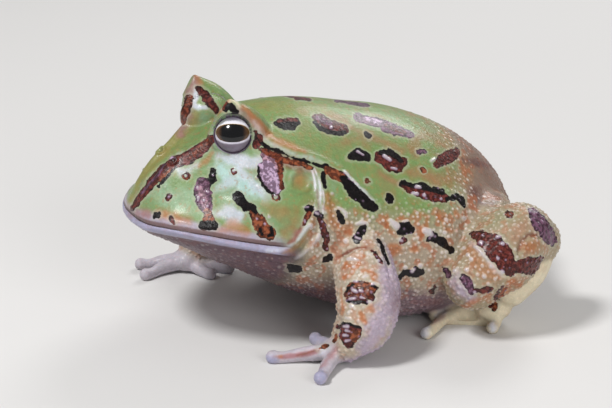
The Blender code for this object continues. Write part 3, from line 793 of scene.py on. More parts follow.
inkTints = {
    "black": (17, 10, 12),
    "maroon": (104, 46, 40),
    "brown": (122, 60, 40),
    "rust": (142, 78, 50),
    "lilac": (186, 160, 186),
    "pinkLilac": (176, 138, 152),
    "plum": (112, 76, 98),
}
marks = {
    "canthalUpper": ("maroon", (
        (211, 139, 4.2), (204, 145, 5.2), (196, 152.5, 5.8), (188, 157.5, 6.4), (180, 160, 6),
        (173, 162.5, 5.2),
    )),
    "canthalLower": ("maroon", (
        (173, 162.5, 5.2), (166, 168, 5.2), (160, 173, 4.6), (152, 182, 4.2), (145, 191, 3.8),
        (138, 200, 3.2), (133, 208, 2.4),
    )),
    "canthalRed": ("brown", ((208, 141, 2.6), (200, 149, 3), (191, 155, 2.6))),
    "canthalMid": ("plum", ((165, 165, 1.6), (158, 174, 1.8), (150, 183, 1.6), (142, 193, 1.4))),
    "canthalLowRust": ("rust", ((169, 171, 1.6), (163, 177, 1.8), (157, 183, 1.2))),
    "canthalEdge": ("black", ((176, 167, 0.9), (170, 173.5, 1.2), (164, 179.5, 1.2), (158, 186, 0.9))),
    "nostrilRim": ("lilac", ((170, 159.5, 0.7), (172, 157.6, 0.9), (175, 157.8, 0.8))),
    "nostrilHole": ("black", ((172.6, 160.6, 0.9), (174.5, 160.2, 0.6))),
    "lipSpotA": ("black", ((154, 217, 1.0), (157, 215, 2.2), (159, 213.5, 1.2))),
    "lipSpotB": ("maroon", ((171, 218, 1.2), (172.5, 221, 1.6), (174, 224, 0.6))),
    "snoutDot": ("maroon", ((168, 199, 1.6), (170, 196, 1.6))),
    "cheekOneTop": ("black", ((213, 172, 3.0), (212, 179, 3.6), (207, 184, 3))),
    "cheekOneMid": ("plum", ((203, 184, 6.0), (202.5, 192, 7.4), (204, 201, 7.2), (206, 209, 5.0))),
    "cheekOneLight": ("pinkLilac", ((199, 187, 2.2), (203, 197, 3.6), (206, 205, 3.0))),
    "cheekOneLow": ("rust", ((207, 212, 3.6), (208, 219, 4))),
    "cheekOneFoot": ("black", ((203, 226, 4.0), (209, 225, 4.6), (214, 226, 3.2))),
    "cheekTwoTop": ("black", ((237, 196, 4.0), (241, 201, 4.0), (246, 206, 3.2), (253, 210, 3.6))),
    "cheekTwoLow": ("rust", (
        (253, 212, 3.8), (257, 218, 5.0), (261, 225, 6.2), (264, 231, 7), (270, 233, 5.6),
    )),
    "cheekTwoDotA": ("black", ((252, 208, 2.6), (256, 212, 2.2))),
    "cheekTwoDotB": ("black", ((260, 229, 1.6), (262, 234, 1.8))),
    "cheekTwoDotC": ("black", ((271, 228, 1.6), (272.5, 234, 2.2), (268, 236, 1.4))),
    "cheekPatchTop": ("pinkLilac", ((264, 155, 2.6), (269, 160, 5.6), (272, 166, 6.6))),
    "cheekPatch": ("lilac", ((267, 169, 8), (268, 176, 8.6), (272, 184, 7.4), (276, 190, 4))),
    "cheekPatchRed": ("brown", (
        (277, 158, 2.6), (280, 165, 3), (280.5, 172, 2.2), (281, 180, 1.4), (281, 188, 1.6),
    )),
    "cheekPatchEdge": ("black", (
        (259, 167, 0.9), (259, 176, 1.1), (262.5, 184, 1.3), (269, 191, 1.3), (275, 194.5, 1),
    )),
    "templeBar": ("brown", (
        (261, 149, 1.6), (267, 153, 2.4), (276, 156.5, 3), (285, 160, 2.8), (294, 163, 2), (302, 165, 1.2),
    )),
    "behindEye": ("maroon", ((256, 132, 1.6), (258, 138, 3.2), (257, 145, 3.4))),
    "underEyeLine": ("rust", ((284, 159.5, 1.6), (292, 162, 2.0), (303, 164.5, 1.8), (312, 168, 1.2))),
    "eyeLine": ("black", (
        (256, 136, 0.9), (260, 143, 1.0), (270, 148, 0.7), (281, 152, 0.6), (292, 157.5, 0.6),
        (304, 160.5, 0.9), (316, 165, 0.9), (327, 167, 1.4),
    )),
    "shoulderBand": ("rust", ((327, 169, 2.6), (335, 174, 4.4), (342, 178, 3.6))),
    "shoulderBar": ("black", (
        (343, 178, 3), (349, 186, 4.6), (358, 195, 4.8), (367, 203, 4.8), (374, 207, 4),
    )),
    "neckTick": ("black", ((323, 172, 1.0), (324, 180, 1.2), (326, 187, 0.6))),
    "nearHornEdge": ("brown", ((223.5, 109.5, 1.8), (225.5, 104, 2))),
    "nearHorn": ("black", ((226.5, 110.5, 2.4), (229, 106.5, 3), (232, 109.5, 3.2), (235.5, 112, 2.4))),
    "neckSpotA": ("black", ((307, 209, 2.4), (311, 208, 2.6))),
    "neckSpotB": ("black", ((317, 214, 2.4), (321, 216, 2.2))),
    "neckStripeA": ("brown", ((309, 212, 1.2), (306, 219, 1.2), (304, 225, 0.8))),
    "neckStripeB": ("maroon", ((319, 219, 1.8), (324, 228, 2.4), (326, 238, 2.6), (326, 248, 1.6))),
    "throatSpot": ("black", ((290, 267, 3.4), (297, 269, 3.2))),
    "neckSpotC": ("black", ((325, 259.5, 2.4), (330, 258.5, 2.6))),
    "flankSpotA": ("black", ((338, 212, 2.2), (341, 218, 2.6), (343, 223, 2.0))),
    "flankSpotB": ("black", ((363, 229, 3.2), (360, 234, 3.4), (357, 239, 3.6))),
    "flankSpotC": ("black", (
        (401, 224, 1.4), (407, 227, 3.4), (403, 232, 3.4), (398, 233, 2.0), (404, 229, 3.4),
        (411, 230, 2.2),
    )),
    "flankSpotD": ("maroon", ((402, 241, 2.4), (405, 240, 1.6))),
    "flankBar": ("black", (
        (429, 239, 2.6), (434, 237, 4.0), (441, 241, 3.4), (447, 246, 2.2), (452, 251, 1.6),
    )),
    "armpitLine": ("black", ((378, 240, 0.8), (382, 247, 1.0), (385, 255, 1.2), (388, 263, 0.6))),
    "armTopLine": ("maroon", ((371, 250, 0.8), (376, 255, 1.2), (381, 262, 1.0))),
    "flankJag": ("black", (
        (400.5, 277, 1.6), (404, 273, 2.8), (411, 274, 2.8), (417, 275, 2.4), (421, 272, 2.8),
    )),
    "flankJagTick": ("black", ((417, 274, 1.6), (416, 268, 1.2))),
    "flankDot": ("maroon", ((435, 286, 1.4), (432, 292, 2.0))),
    "backSpotA": ("black", ((277, 123.5, 2.6), (283, 125.5, 4.4), (291, 125.5, 4.6), (297, 122.5, 2.4))),
    "backSpotATop": ("maroon", ((278, 121, 1.4), (286, 120.5, 1.8), (296, 120, 1.8))),
    "backSpotB": ("maroon", ((318, 118, 4), (325, 123, 5.4), (334, 127.5, 5.4), (344, 129, 4.2))),
    "backSpotBEdge": ("black", (
        (315, 122, 1.2), (320, 127, 1.7), (327, 131, 1.9), (336, 133, 1.9), (345, 132, 1.7),
    )),
    "backSpotBLight": ("plum", ((317, 117.5, 2.2), (322, 120, 2.8), (330, 123.5, 2.6))),
    "backBandA": ("plum", ((358, 117.5, 4), (368, 120, 4.6), (378, 123, 5.2))),
    "backBandALight": ("lilac", ((366, 118.5, 2), (374, 120.5, 2.8), (381, 123, 2.6))),
    "backBandB": ("plum", ((386, 126, 5.4), (396, 130, 5.4), (409, 134, 4.2))),
    "backBandBCore": ("maroon", ((386, 125.5, 2), (394, 129, 2.6), (404, 132.5, 2.4))),
    "backDotA": ("black", ((367, 134.5, 2.2), (369, 135.5, 2))),
    "backSpotC": ("black", ((351, 156.5, 3), (358, 154, 5), (366, 156.5, 4))),
    "backSpotD": ("maroon", ((380, 157, 5), (388, 161, 8), (396, 165, 7.4), (402, 162, 4.4))),
    "backSpotDTop": ("black", ((381, 153, 2.4), (388, 152, 3), (397, 157, 2.6), (401, 161, 2.4))),
    "backDotB": ("plum", ((420, 152, 2.6), (423, 151.5, 2))),
    "backSpotE": ("maroon", ((437, 165, 3), (443, 160, 5.4), (450, 156, 6), (456, 152, 4))),
    "backDotC": ("rust", ((423, 170, 1.8),)),
    "rearBand": ("maroon", (
        (405, 185, 2.6), (413, 189, 4.6), (424, 192, 5.4), (436, 196, 6), (444, 198, 4.4),
    )),
    "rearBandTop": ("black", (
        (402, 183, 1.8), (410, 185, 2.4), (421, 187, 2.6), (434, 190, 2.6), (442, 193, 2.4),
    )),
    "rearBandEnd": ("black", ((447, 199, 2), (456, 197, 2.4), (461, 200, 2.6), (464, 206, 1.6))),
    "ridgeSpotA": ("maroon", ((252, 97.5, 2), (262, 97, 2.4))),
    "ridgeSpotB": ("maroon", ((284, 95.5, 2.4), (296, 97.5, 2.8), (308, 99, 2))),
    "ridgeSpotC": ("plum", ((338, 101, 2.4), (352, 103, 3), (366, 105, 2.6))),
    "armBarTop": ("rust", ((351, 286, 2.6), (358, 284.5, 2.4), (366, 285.5, 3.2), (373, 289.5, 2.8))),
    "armBarMid": ("brown", (
        (346.5, 294, 2.6), (353, 292.5, 4.2), (361, 293, 4.2), (368, 295, 3.6), (373, 297.5, 1.6),
    )),
    "armBarLow": ("maroon", ((349, 299, 2.4), (357, 299.5, 2.8), (365, 301, 2.0))),
    "armBarBlackA": ("black", ((353, 284.5, 1.4), (349, 288.5, 1.4), (346, 292, 0.6))),
    "armBarBlackB": ("black", ((371, 286, 0.8), (375, 287.5, 1.1))),
    "armBarBlackC": ("black", ((348, 300.5, 1.0), (355, 302, 1.1), (362, 301.5, 1.1), (366, 302.5, 0.8))),
    "wristBar": ("maroon", ((338.5, 326.5, 1.8), (345, 328, 3.4), (352, 328, 3.2), (359, 328.5, 2.4))),
    "wristBarMid": ("rust", ((351, 333, 2.8), (357, 333.5, 3.0), (354, 338.5, 3.4))),
    "wristBarLow": ("maroon", ((341, 336, 2.4), (345, 341, 3.2), (350, 343.5, 2.6))),
    "wristBarCore": ("maroon", ((342, 332.5, 2.4), (347, 334, 3.2))),
    "wristBarTop": ("black", ((343, 324.5, 0.8), (353, 325.5, 1.2), (360, 328, 1.2))),
    "handSpot": ("rust", ((336, 336.5, 1.4), (334, 340, 1.0))),
    "fingerSpot": ("rust", ((320.5, 348.5, 1.5), (325, 346.5, 1.9))),
    "legBar": ("maroon", (
        (474, 235, 3.4), (483, 238, 6.6), (491, 244, 9.4), (499, 252, 10), (506, 261, 9), (511, 269, 6),
    )),
    "legBarRear": ("maroon", ((514, 267, 5), (522, 266, 6.6), (532, 266, 8), (539, 263, 6))),
    "legBarTop": ("plum", ((533, 212, 4), (538, 221, 6.4), (546, 231, 8), (552, 240, 6))),
    "legDot": ("brown", ((508, 214, 2.6), (511, 215, 2.4))),
    "kneeBlotch": ("plum", ((463, 278, 3.0), (468, 284, 4.6), (472, 290, 3))),
    "kneeLine": ("maroon", ((475, 290, 2.2), (483, 291, 1.6), (491, 288, 1.8))),
    "kneeSide": ("plum", ((446, 270, 2.6), (449, 275, 2.4))),
    "footStripe": ("rust", ((504, 288, 2.2), (500, 296, 3.2), (496, 304, 2.2), (494, 309, 1.2))),
    "footStripeEdge": ("maroon", ((502, 288, 1.4), (496, 297, 1.4), (493, 304, 1.4), (491, 307, 0.8))),
}
# rings round single warts: pixel, radius and half width in pixels
ringMarks = {
    "cheekRing": ("brown", (234, 171, 2.3, 0.35)),
    "snoutRing": ("rust", (186, 176, 2.6, 0.1)),
    "cheekLowRing": ("rust", (276, 197, 3.0, 0.0)),
    "flankRing": ("black", (389.5, 198.5, 2.8, 1.1)),
    "backRing": ("rust", (367, 181, 1.4, 0.8)),
}
farMarks = {
    "farHornBand": ("maroon", ((199, 89, 2.6), (205, 96, 3.4), (211, 103, 3.4), (217, 110, 2.6))),
    "farHornSide": ("brown", ((189, 98, 3), (186, 110, 3.4), (183, 122, 3))),
}


# Ground colours, as sRGB values, and the brushes that lay them on

groundTints = {
    "green": (116, 142, 86),
    "cheekGreen": (134, 158, 124),
    "olive": (150, 150, 116),
    "teal": (176, 204, 200),
    "milk": (200, 202, 216),
    "flank": (178, 163, 144),
    "rear": (128, 102, 88),
    "rumpBand": (100, 62, 58),
    "belly": (140, 120, 130),
    "throat": (98, 74, 84),
    "arm": (184, 168, 150),
    "mauve": (176, 160, 180),
    "hand": (186, 178, 188),
    "tip": (160, 158, 188),
    "fingerPink": (158, 108, 112),
    "leg": (162, 147, 122),
    "cream": (216, 204, 178),
    "lip": (172, 160, 180),
    "lipEdge": (102, 76, 72),
    "lowerLip": (164, 160, 186),
    "gap": (46, 28, 30),
    # painted highlight on the wet neck pleats
    "pleatHighlight": (226, 224, 236),
    "bellyPlum": (112, 84, 92),
    "legMauve": (116, 88, 96),
    "legTan": (170, 132, 108),
    "orange": (178, 104, 62),
    "ochre": (156, 128, 68),
    "tan": (152, 114, 80),
    "redBrown": (122, 66, 52),
    "hornPink": (150, 112, 112),
}
# tint, strength, softness in mm, and the string of pixels with radii in pixels
brushes = {
    "snoutTop": ("ochre", 0.55, 1.5, (
        (190, 118, 8), (176, 138, 8), (158, 156, 7), (142, 176, 6), (132, 198, 5),
    )),
    "headTop": ("ochre", 0.35, 2.0, ((250, 104, 5), (275, 106, 6), (300, 108, 6), (322, 110, 5))),
    "cheekOlive": ("teal", 0.35, 2.0, ((160, 190, 10), (172, 204, 9), (186, 196, 9), (190, 210, 7))),
    "underEyeMilk": ("milk", 0.9, 1.0, (
        (218, 156, 4), (230, 160, 7), (244, 162, 8), (256, 162, 7), (268, 158, 4),
    )),
    "cheekMilk": ("teal", 0.95, 1.6, (
        (222, 168, 7), (230, 178, 10), (242, 186, 11), (252, 190, 9), (264, 197, 6),
    )),
    "cheekMilkLow": ("milk", 0.9, 1.2, ((219, 214, 5), (228, 212, 8), (237, 217, 7), (231, 222, 5))),
    "cheekMilkHigh": ("milk", 0.75, 1.2, ((240, 172, 4), (252, 178, 4), (258, 188, 5), (266, 199, 4))),
    "cheekMilkRiver": ("milk", 0.55, 1.2, ((216, 188, 3), (222, 186, 4), (232, 184, 5))),
    "cheekShade": ("cheekGreen", 0.85, 1.0, ((220, 200, 4), (227, 195, 4), (234, 189, 3))),
    "snoutMilk": ("milk", 0.8, 0.9, ((176, 167, 3), (181, 173, 4.5), (188, 170, 4), (196, 165, 2.6))),
    "canthalPale": ("milk", 0.6, 0.5, (
        (207, 137, 1.6), (200, 143, 1.6), (190, 150, 1.6), (178, 153.5, 1.4),
    )),
    "canthalRust": ("orange", 0.55, 0.6, ((213, 153, 1.6), (207, 160, 2), (200, 166, 1.6))),
    "jawGreen": ("green", 0.5, 2.0, (
        (268, 206, 8), (284, 203, 11), (300, 200, 9), (288, 220, 10), (276, 234, 6),
    )),
    "jawFlush": ("orange", 0.55, 1.2, ((220, 232, 3), (232, 227, 5), (246, 231, 5))),
    "jawFlushRear": ("orange", 0.4, 1.2, ((284, 232, 4), (292, 226, 4), (298, 212, 4))),
    "jawFlushMid": ("orange", 0.35, 1.4, ((262, 204, 3), (272, 208, 4), (286, 214, 4))),
    "lipFlush": ("orange", 0.65, 0.9, ((158, 212, 3.6), (167, 215, 4.6), (177, 219, 4.6), (188, 221, 4))),
    "lipPink": ("lip", 0.6, 0.9, (
        (140, 214, 3), (160, 222, 2.6), (185, 227, 2.6), (215, 233, 2.6), (245, 238, 2.6), (272, 240, 2.4),
    )),
    "noseFlush": ("hornPink", 0.7, 1.0, ((131, 212, 4), (138, 214, 4.5), (148, 213, 4))),
    "eardrumRing": ("cheekGreen", 0.8, 1.0, ((290, 176, 4), (296, 170, 4), (306, 172, 4), (310, 182, 3.4))),
    "eardrum": ("orange", 0.55, 1.3, ((300, 178, 4.6), (302, 185, 4.6))),
    "lidMauve": ("hornPink", 0.55, 0.9, ((240, 108, 4), (248, 116, 5), (256, 126, 4), (264, 136, 3))),
    "browRust": ("orange", 0.7, 0.8, (
        (243, 106, 2.6), (250, 113, 4), (257, 123, 4), (267, 133, 4.4), (279, 141, 4), (293, 148, 3),
        (305, 152, 2.4),
    )),
    "browPale": ("milk", 0.55, 0.6, (
        (254, 122, 2), (260, 132, 2), (270, 143, 2), (282, 150, 2.6), (296, 155, 3), (310, 158, 3),
        (324, 163, 2),
    )),
    "eyeFront": ("orange", 0.5, 0.7, ((219, 112, 2.4), (213, 120, 2.4), (209, 130, 2.4))),
    "eyeOver": ("hornPink", 0.5, 0.8, ((240, 112, 3), (248, 120, 3))),
    "underBrow": ("redBrown", 0.85, 0.9, (
        (272, 154, 3), (280, 158, 4.6), (292, 163, 5), (304, 167, 3.4), (314, 171, 2),
    )),
    "hornBrown": ("orange", 0.9, 0.5, ((222, 110, 2.4), (225, 103, 2.8), (229, 101, 1.8))),
    "hornCream": ("cream", 0.85, 0.5, ((231, 100, 1.8), (236, 101, 2.4), (239, 106, 2.0))),
    "backStreakA": ("tan", 0.7, 0.9, (
        (330, 117, 3), (345, 121, 3.6), (356, 130, 4), (372, 137, 4.4), (388, 144, 4.4), (402, 150, 3),
    )),
    "backStreakB": ("tan", 0.8, 0.8, ((380, 173, 2.4), (388, 179, 3), (398, 183, 3))),
    "backStreakC": ("tan", 0.7, 1.3, ((412, 172, 4), (426, 176, 5), (440, 178, 6), (456, 180, 6))),
    "backStreakD": ("tan", 0.5, 1.0, ((344, 142, 4), (358, 138, 4), (366, 140, 3))),
    "loinTan": ("tan", 0.6, 1.6, ((425, 132, 5), (442, 142, 6), (462, 160, 8), (468, 180, 8))),
    "shoulderPale": ("milk", 0.85, 0.4, (
        (345, 172, 1.6), (353, 182, 1.9), (363, 192, 1.9), (373, 201, 1.6),
    )),
    "neckGreen": ("cheekGreen", 0.7, 0.8, ((329, 178, 3), (333, 186, 4), (334, 194, 3))),
    "neckFlush": ("orange", 0.6, 1.0, ((327, 196, 4), (330, 208, 5), (336, 222, 6), (346, 230, 6))),
    # painted highlights: a paler patch and bright lines along the neck pleats
    "pleatSheen": ("milk", 0.5, 0.9, ((314, 170, 3), (318, 184, 4), (320, 198, 4), (321, 212, 4))),
    "pleatHighlightA": ("pleatHighlight", 0.9, 0.16, (
        (311.5, 168, 0.5), (314, 176, 0.7), (315, 184, 0.8), (315, 191, 0.6),
    )),
    "pleatHighlightB": ("pleatHighlight", 0.8, 0.16, (
        (314, 168, 0.5), (317.5, 176, 0.6), (320, 184, 0.6), (320.5, 194, 0.8), (320, 204, 0.8),
    )),
    "pleatHighlightC": ("pleatHighlight", 0.8, 0.16, (
        (323, 190, 0.5), (324, 200, 0.7), (323.5, 208, 0.7), (322.5, 216, 0.5),
    )),
    "pleatHighlightD": ("pleatHighlight", 0.6, 0.16, ((315, 200, 0.5), (314, 206, 0.8))),
    "pleatPink": ("fingerPink", 0.5, 0.3, ((317, 190, 0.6), (318, 200, 0.8), (319, 212, 0.8))),
    "pleatPinkB": ("fingerPink", 0.6, 0.4, ((322, 220, 1.4), (325, 230, 1.8), (328, 242, 1.6))),
    # pale lip skin running on from the lower lip, and painted highlight on the fold by the mouth corner
    "cornerPaleAndHighlight": ("milk", 0.7, 0.5, (
        (268, 251.5, 2), (281, 249.5, 2.0), (291, 245, 2.0), (299, 238, 2.2), (304, 230, 2.2),
        (310, 225, 1.8),
    )),
    "cornerLine": ("redBrown", 0.8, 0.4, (
        (288, 243.5, 0.9), (294, 240, 1.1), (298, 233, 1.1), (302, 226, 1.1), (305, 218, 1),
    )),
    "cornerGroove": ("tan", 0.7, 0.5, (
        (282, 254, 1.2), (292, 250, 1.6), (301, 243, 2.0), (308, 235, 2.0), (311, 230, 1.2),
    )),
    # painted highlight on the second fold behind the mouth corner
    "cornerFoldHighlight": ("milk", 0.6, 0.5, (
        (296, 259, 1.4), (304, 254, 1.6), (311, 247, 1.8), (317, 239, 2.0),
    )),
    "cornerPink": ("fingerPink", 0.5, 0.6, ((293, 236, 1.6), (297, 231, 1.6))),
    "armMauve": ("mauve", 0.9, 1.6, (
        (384, 262, 5), (390, 284, 8), (388, 306, 10), (379, 326, 10), (366, 343, 8),
    )),
    "fingerPink": ("fingerPink", 0.8, 0.35, (
        (318, 351, 2.0), (308, 353.5, 2.6), (298, 355, 2.4), (288, 356.5, 2.0), (279, 357.5, 1.2),
    )),
    "fingerDark": ("redBrown", 0.6, 0.3, ((315, 350.5, 0.7), (304, 354, 1.0), (297, 355.5, 0.8))),
    "fingerPinkB": ("fingerPink", 0.6, 0.7, (
        (336, 349, 3.0), (331, 355, 2.8), (326, 361, 2.4), (321.5, 366, 1.8),
    )),
    "fingerOrange": ("orange", 0.6, 0.4, ((281, 356.5, 1.0), (273, 357, 1.0))),
    "handPale": ("milk", 0.5, 0.6, ((322, 353, 2.4), (328, 349, 2.0))),
    "tipA": ("tip", 0.85, 0.9, ((268, 362, 6), (272, 360, 5))),
    "tipB": ("tip", 0.85, 1.0, ((319, 378, 6.5), (320, 373, 5))),
    "tipC": ("tip", 0.6, 1.0, ((314, 338, 6), (322, 339, 4))),
    "shoulderRustA": ("orange", 0.75, 0.4, ((344, 268, 1.6), (346, 263, 1.8), (349, 266, 1.0))),
    "shoulderRustB": ("orange", 0.75, 0.4, (
        (352, 272, 1.8), (355, 268, 2.0), (360, 265, 1.6), (358, 259, 1.2), (364, 256, 1.8),
    )),
    "shoulderRustC": ("orange", 0.75, 0.4, ((344, 277, 2.4), (348, 276.5, 2.0))),
    "shoulderRustD": ("orange", 0.75, 0.4, (
        (362, 271, 1.2), (370, 272, 1.8), (374, 276, 2.8), (373, 279, 2.0),
    )),
    "armRustA": ("orange", 0.7, 0.5, ((341, 289, 1.6), (342, 300, 1.0), (343, 309, 1.8), (342, 314, 1.4))),
    "armRustB": ("orange", 0.75, 0.4, ((361, 313, 2.0), (363, 318, 2.2), (365, 322, 1.6))),
    "armRustC": ("orange", 0.5, 0.5, ((370, 307, 1.8), (373, 311, 1.6))),
    "armCapLine": ("redBrown", 0.85, 0.25, (
        (335, 259, 1.0), (341, 256, 1.0), (349, 251.5, 1.1), (357, 248, 1.1), (365, 247.5, 1.0),
        (373, 250, 1.1),
    )),
    "hipRump": ("rear", 0.9, 1.4, ((476, 196, 7), (490, 194, 8), (500, 196, 7))),
    "hipPale": ("belly", 0.5, 1.2, ((482, 203, 4), (492, 203, 5))),
    "flankRustA": ("orange", 0.75, 0.5, ((396, 219.5, 1.0), (401, 218, 1.6), (406, 218.5, 1.0))),
    "flankRustB": ("orange", 0.65, 0.6, (
        (387, 217, 1.6), (387.5, 226, 2.0), (391, 232, 2.0), (396, 236, 1.2),
    )),
    "flankRustC": ("orange", 0.7, 0.6, (
        (415, 212, 1.6), (421, 214, 1.8), (427, 217, 1.6), (427, 225, 1.8), (422, 230, 1.6),
        (421.5, 237, 1.4),
    )),
    "flankRustD": ("orange", 0.7, 0.6, (
        (438, 216, 1.6), (441, 221, 1.6), (445, 228, 2.0), (451, 231, 1.6),
    )),
    "flankRustE": ("orange", 0.7, 0.8, ((392, 248, 3.0), (399, 247, 3.4), (394, 254, 3.0))),
    "flankRustF": ("orange", 0.7, 0.7, ((414, 244, 2.4), (416, 250, 2.6), (411, 248, 1.6))),
    "flankRustG": ("orange", 0.5, 0.6, ((431, 260, 2.6), (430, 266, 1.6))),
    "flankRustH": ("orange", 0.65, 0.5, ((455, 212, 1.8), (457, 216, 2.0))),
    "bellyShade": ("bellyPlum", 0.75, 2.2, ((400, 302, 8), (416, 300, 10), (434, 300, 9))),
    "rumpBand": ("rumpBand", 0.75, 1.0, (
        (462, 159, 1.6), (472, 162, 2.6), (484, 164, 3.4), (496, 166, 4.0),
    )),
    "rumpDark": ("rumpBand", 0.6, 1.4, ((475, 188, 3.0), (473, 195, 3.6))),
    "legMauve": ("legMauve", 0.85, 1.2, ((534, 212, 4), (537, 222, 6), (544, 230, 5))),
    "legCrease": ("redBrown", 0.7, 0.5, (
        (546, 240, 1.4), (536, 235, 1.6), (527, 235.5, 1.6), (522, 241, 1.6), (519, 250, 1.2),
    )),
    "thighTan": ("legTan", 0.8, 1.6, ((512, 208, 6), (522, 222, 9), (516, 236, 7))),
    "thighOlive": ("olive", 0.6, 1.6, ((486, 222, 6), (500, 216, 8), (516, 216, 7))),
    "kneeMilk": ("mauve", 0.85, 1.2, ((457, 281, 7), (461, 291, 8), (472, 299, 5))),
    "legBarEdge": ("milk", 0.8, 0.5, (
        (470, 243, 2), (478, 249, 2.4), (486, 258, 2.4), (494, 268, 2.2), (502, 276, 1.6),
    )),
    "flankGrey": ("belly", 0.4, 2.5, ((392, 292, 8), (410, 300, 9), (430, 300, 8))),
    "legFlush": ("orange", 0.45, 1.4, ((470, 248, 6), (480, 264, 7), (494, 278, 6))),
    "legRearFlush": ("orange", 0.65, 1.0, ((526, 248, 4), (534, 246, 5), (545, 246, 3))),
    "heelCream": ("cream", 0.7, 0.8, ((504, 276, 3), (512, 273, 3), (518, 277, 2))),
    "heelFlush": ("orange", 0.8, 0.8, ((520, 286, 3), (511, 282, 4), (506, 290, 4), (503, 296, 2))),
    "shinFlush": ("orange", 0.7, 0.8, ((488, 294, 4), (482, 299, 3), (470, 304, 2.4), (465, 307, 2.4))),
    "toeMauve": ("hornPink", 0.5, 0.6, ((443, 317, 1.8), (433, 323, 1.8))),
    "toeMilk": ("milk", 0.7, 0.8, ((444, 312, 2.4), (436, 315, 2.0))),
    "toeTip": ("milk", 0.8, 0.8, ((426, 326, 4), (424, 334, 4))),
    "toeTipB": ("milk", 0.8, 0.8, ((493, 322, 3), (493, 330, 4))),
    "webCream": ("cream", 0.8, 1.2, ((462, 312, 5), (478, 312, 7), (492, 314, 5))),
}
farBrushes = {
    "farHornPink": ("hornPink", 0.85, 0.8, (
        (196, 78, 4), (192, 90, 6), (188, 104, 6), (184, 120, 5), (181, 134, 4),
    )),
    "farHornTip": ("orange", 0.5, 0.6, ((197, 76, 3), (200, 82, 2.4))),
    "farHornMilk": ("milk", 0.95, 0.4, (
        (196.5, 91, 2.6), (195.5, 98, 3.2), (193, 105, 2.6), (199, 107, 2.8), (206, 107.5, 2.4),
    )),
}
# lowest green at each place along the trunk, from the neck to the loins
greenEdge = (
    (-17, 31.0), (-14, 34.0), (-8, 33.0), (0, 31.0), (7, 30.4), (13, 29.2), (19, 30.6), (25, 34.0),
    (30, 38.0), (36, 50.0),
)
throatSeam = {"place": -19.0, "reach": 5.0, "rounds": 70}  # where the jaw's tint runs into the trunk's


def linear(tint):
    values = np.asarray(tint, float) / 255
    return np.where(values > 0.04045, ((values + 0.055) / 1.055) ** 2.4, values / 12.92)


def blend(colours, tint, weight):
    colours += (np.asarray(tint, float) / 255 - colours) * np.clip(weight, 0, 1)[:, None]


# where each ground colour, and the beads, start and end: mm along the trunk, mm over the floor or over the
# edge of the green, or how far the skin has turned
skinReach = {
    "bellyTop": (4, 14),
    "throatTop": (9, 18),
    "throatRear": (-9, 0),
    "rear": (20, 38),
    "oliveEdge": (-6, 0),
    "oliveRear": (22, 36),
    "greenEdge": (-0.4, 1.2),
    "greenRear": (17, 36),
    "tanPatch": (0.10, 0.55),
    "tanRear": (0, 26),
    "headTop": (0.2, 0.75),
    "cheekRear": (-22, -15),
    "neck": (-20, -14),
    "neckTop": (29, 33),
    "armRear": (0.25, 0.75),
    "armUnder": (0.3, 0.8),
    "seamTop": (21, 27),
    "plainEdge": (0, 5),
    "plainRear": (14, 34),
    "rumpMottle": (26, 38),
    "chestMottle": (-8, 4),
    "beadlessHead": (-20, -15),
    "thinnerRear": (12, 30),
    "thinnerTop": (22, 30),
}
# words that the nodes of a limb start with: its ground colour, and how far the mottling shows on it
limbGrounds = {
    ("upper_arm", "forearm"): ("arm", 0.4),
    ("hand",): ("hand", 0.0),
    ("thigh", "shank"): ("leg", 0.4),
    ("foot",): ("cream", 0.1),
}
plainHeadHeight = 28  # above this the head has no beads
groundForm = {
    "wander": (2.2, 3, 5),  # how far the lower edge of the green, the rear and the green's rear end wander
    "patches": (4.2, 3, 0.5),  # tan patches on the green: size, seed and how much their edges wander
    "tanShare": (0.25, 0.6),  # how tan they are in front, and how much more at the rear
    "chest": (7, 15, 5),  # mottling starts and ends at these heights, and farther up on the chest
    "rounds": (8, 14, 8),  # how often the colours, the mottling and the plain places are evened out
}
# how much mottling there is on the trunk and the head, and the share of it that the other regions lose
mottling = {"trunk": 0.75, "head": 0.1, "green": 0.8, "olive": 0.15, "rump": 0.75, "chest": 0.85}
# the share of the beads that is missing from each place
beadless = {"plain": 1.1, "hand": 0.95, "horn": 0.9, "rear": 0.5, "lip": 1.0, "jaw": 0.45, "smooth": 0.8}


def rising(name, x):
    return smoothStep(*skinReach[name], x)


def falling(name, x):
    return 1 - rising(name, x)


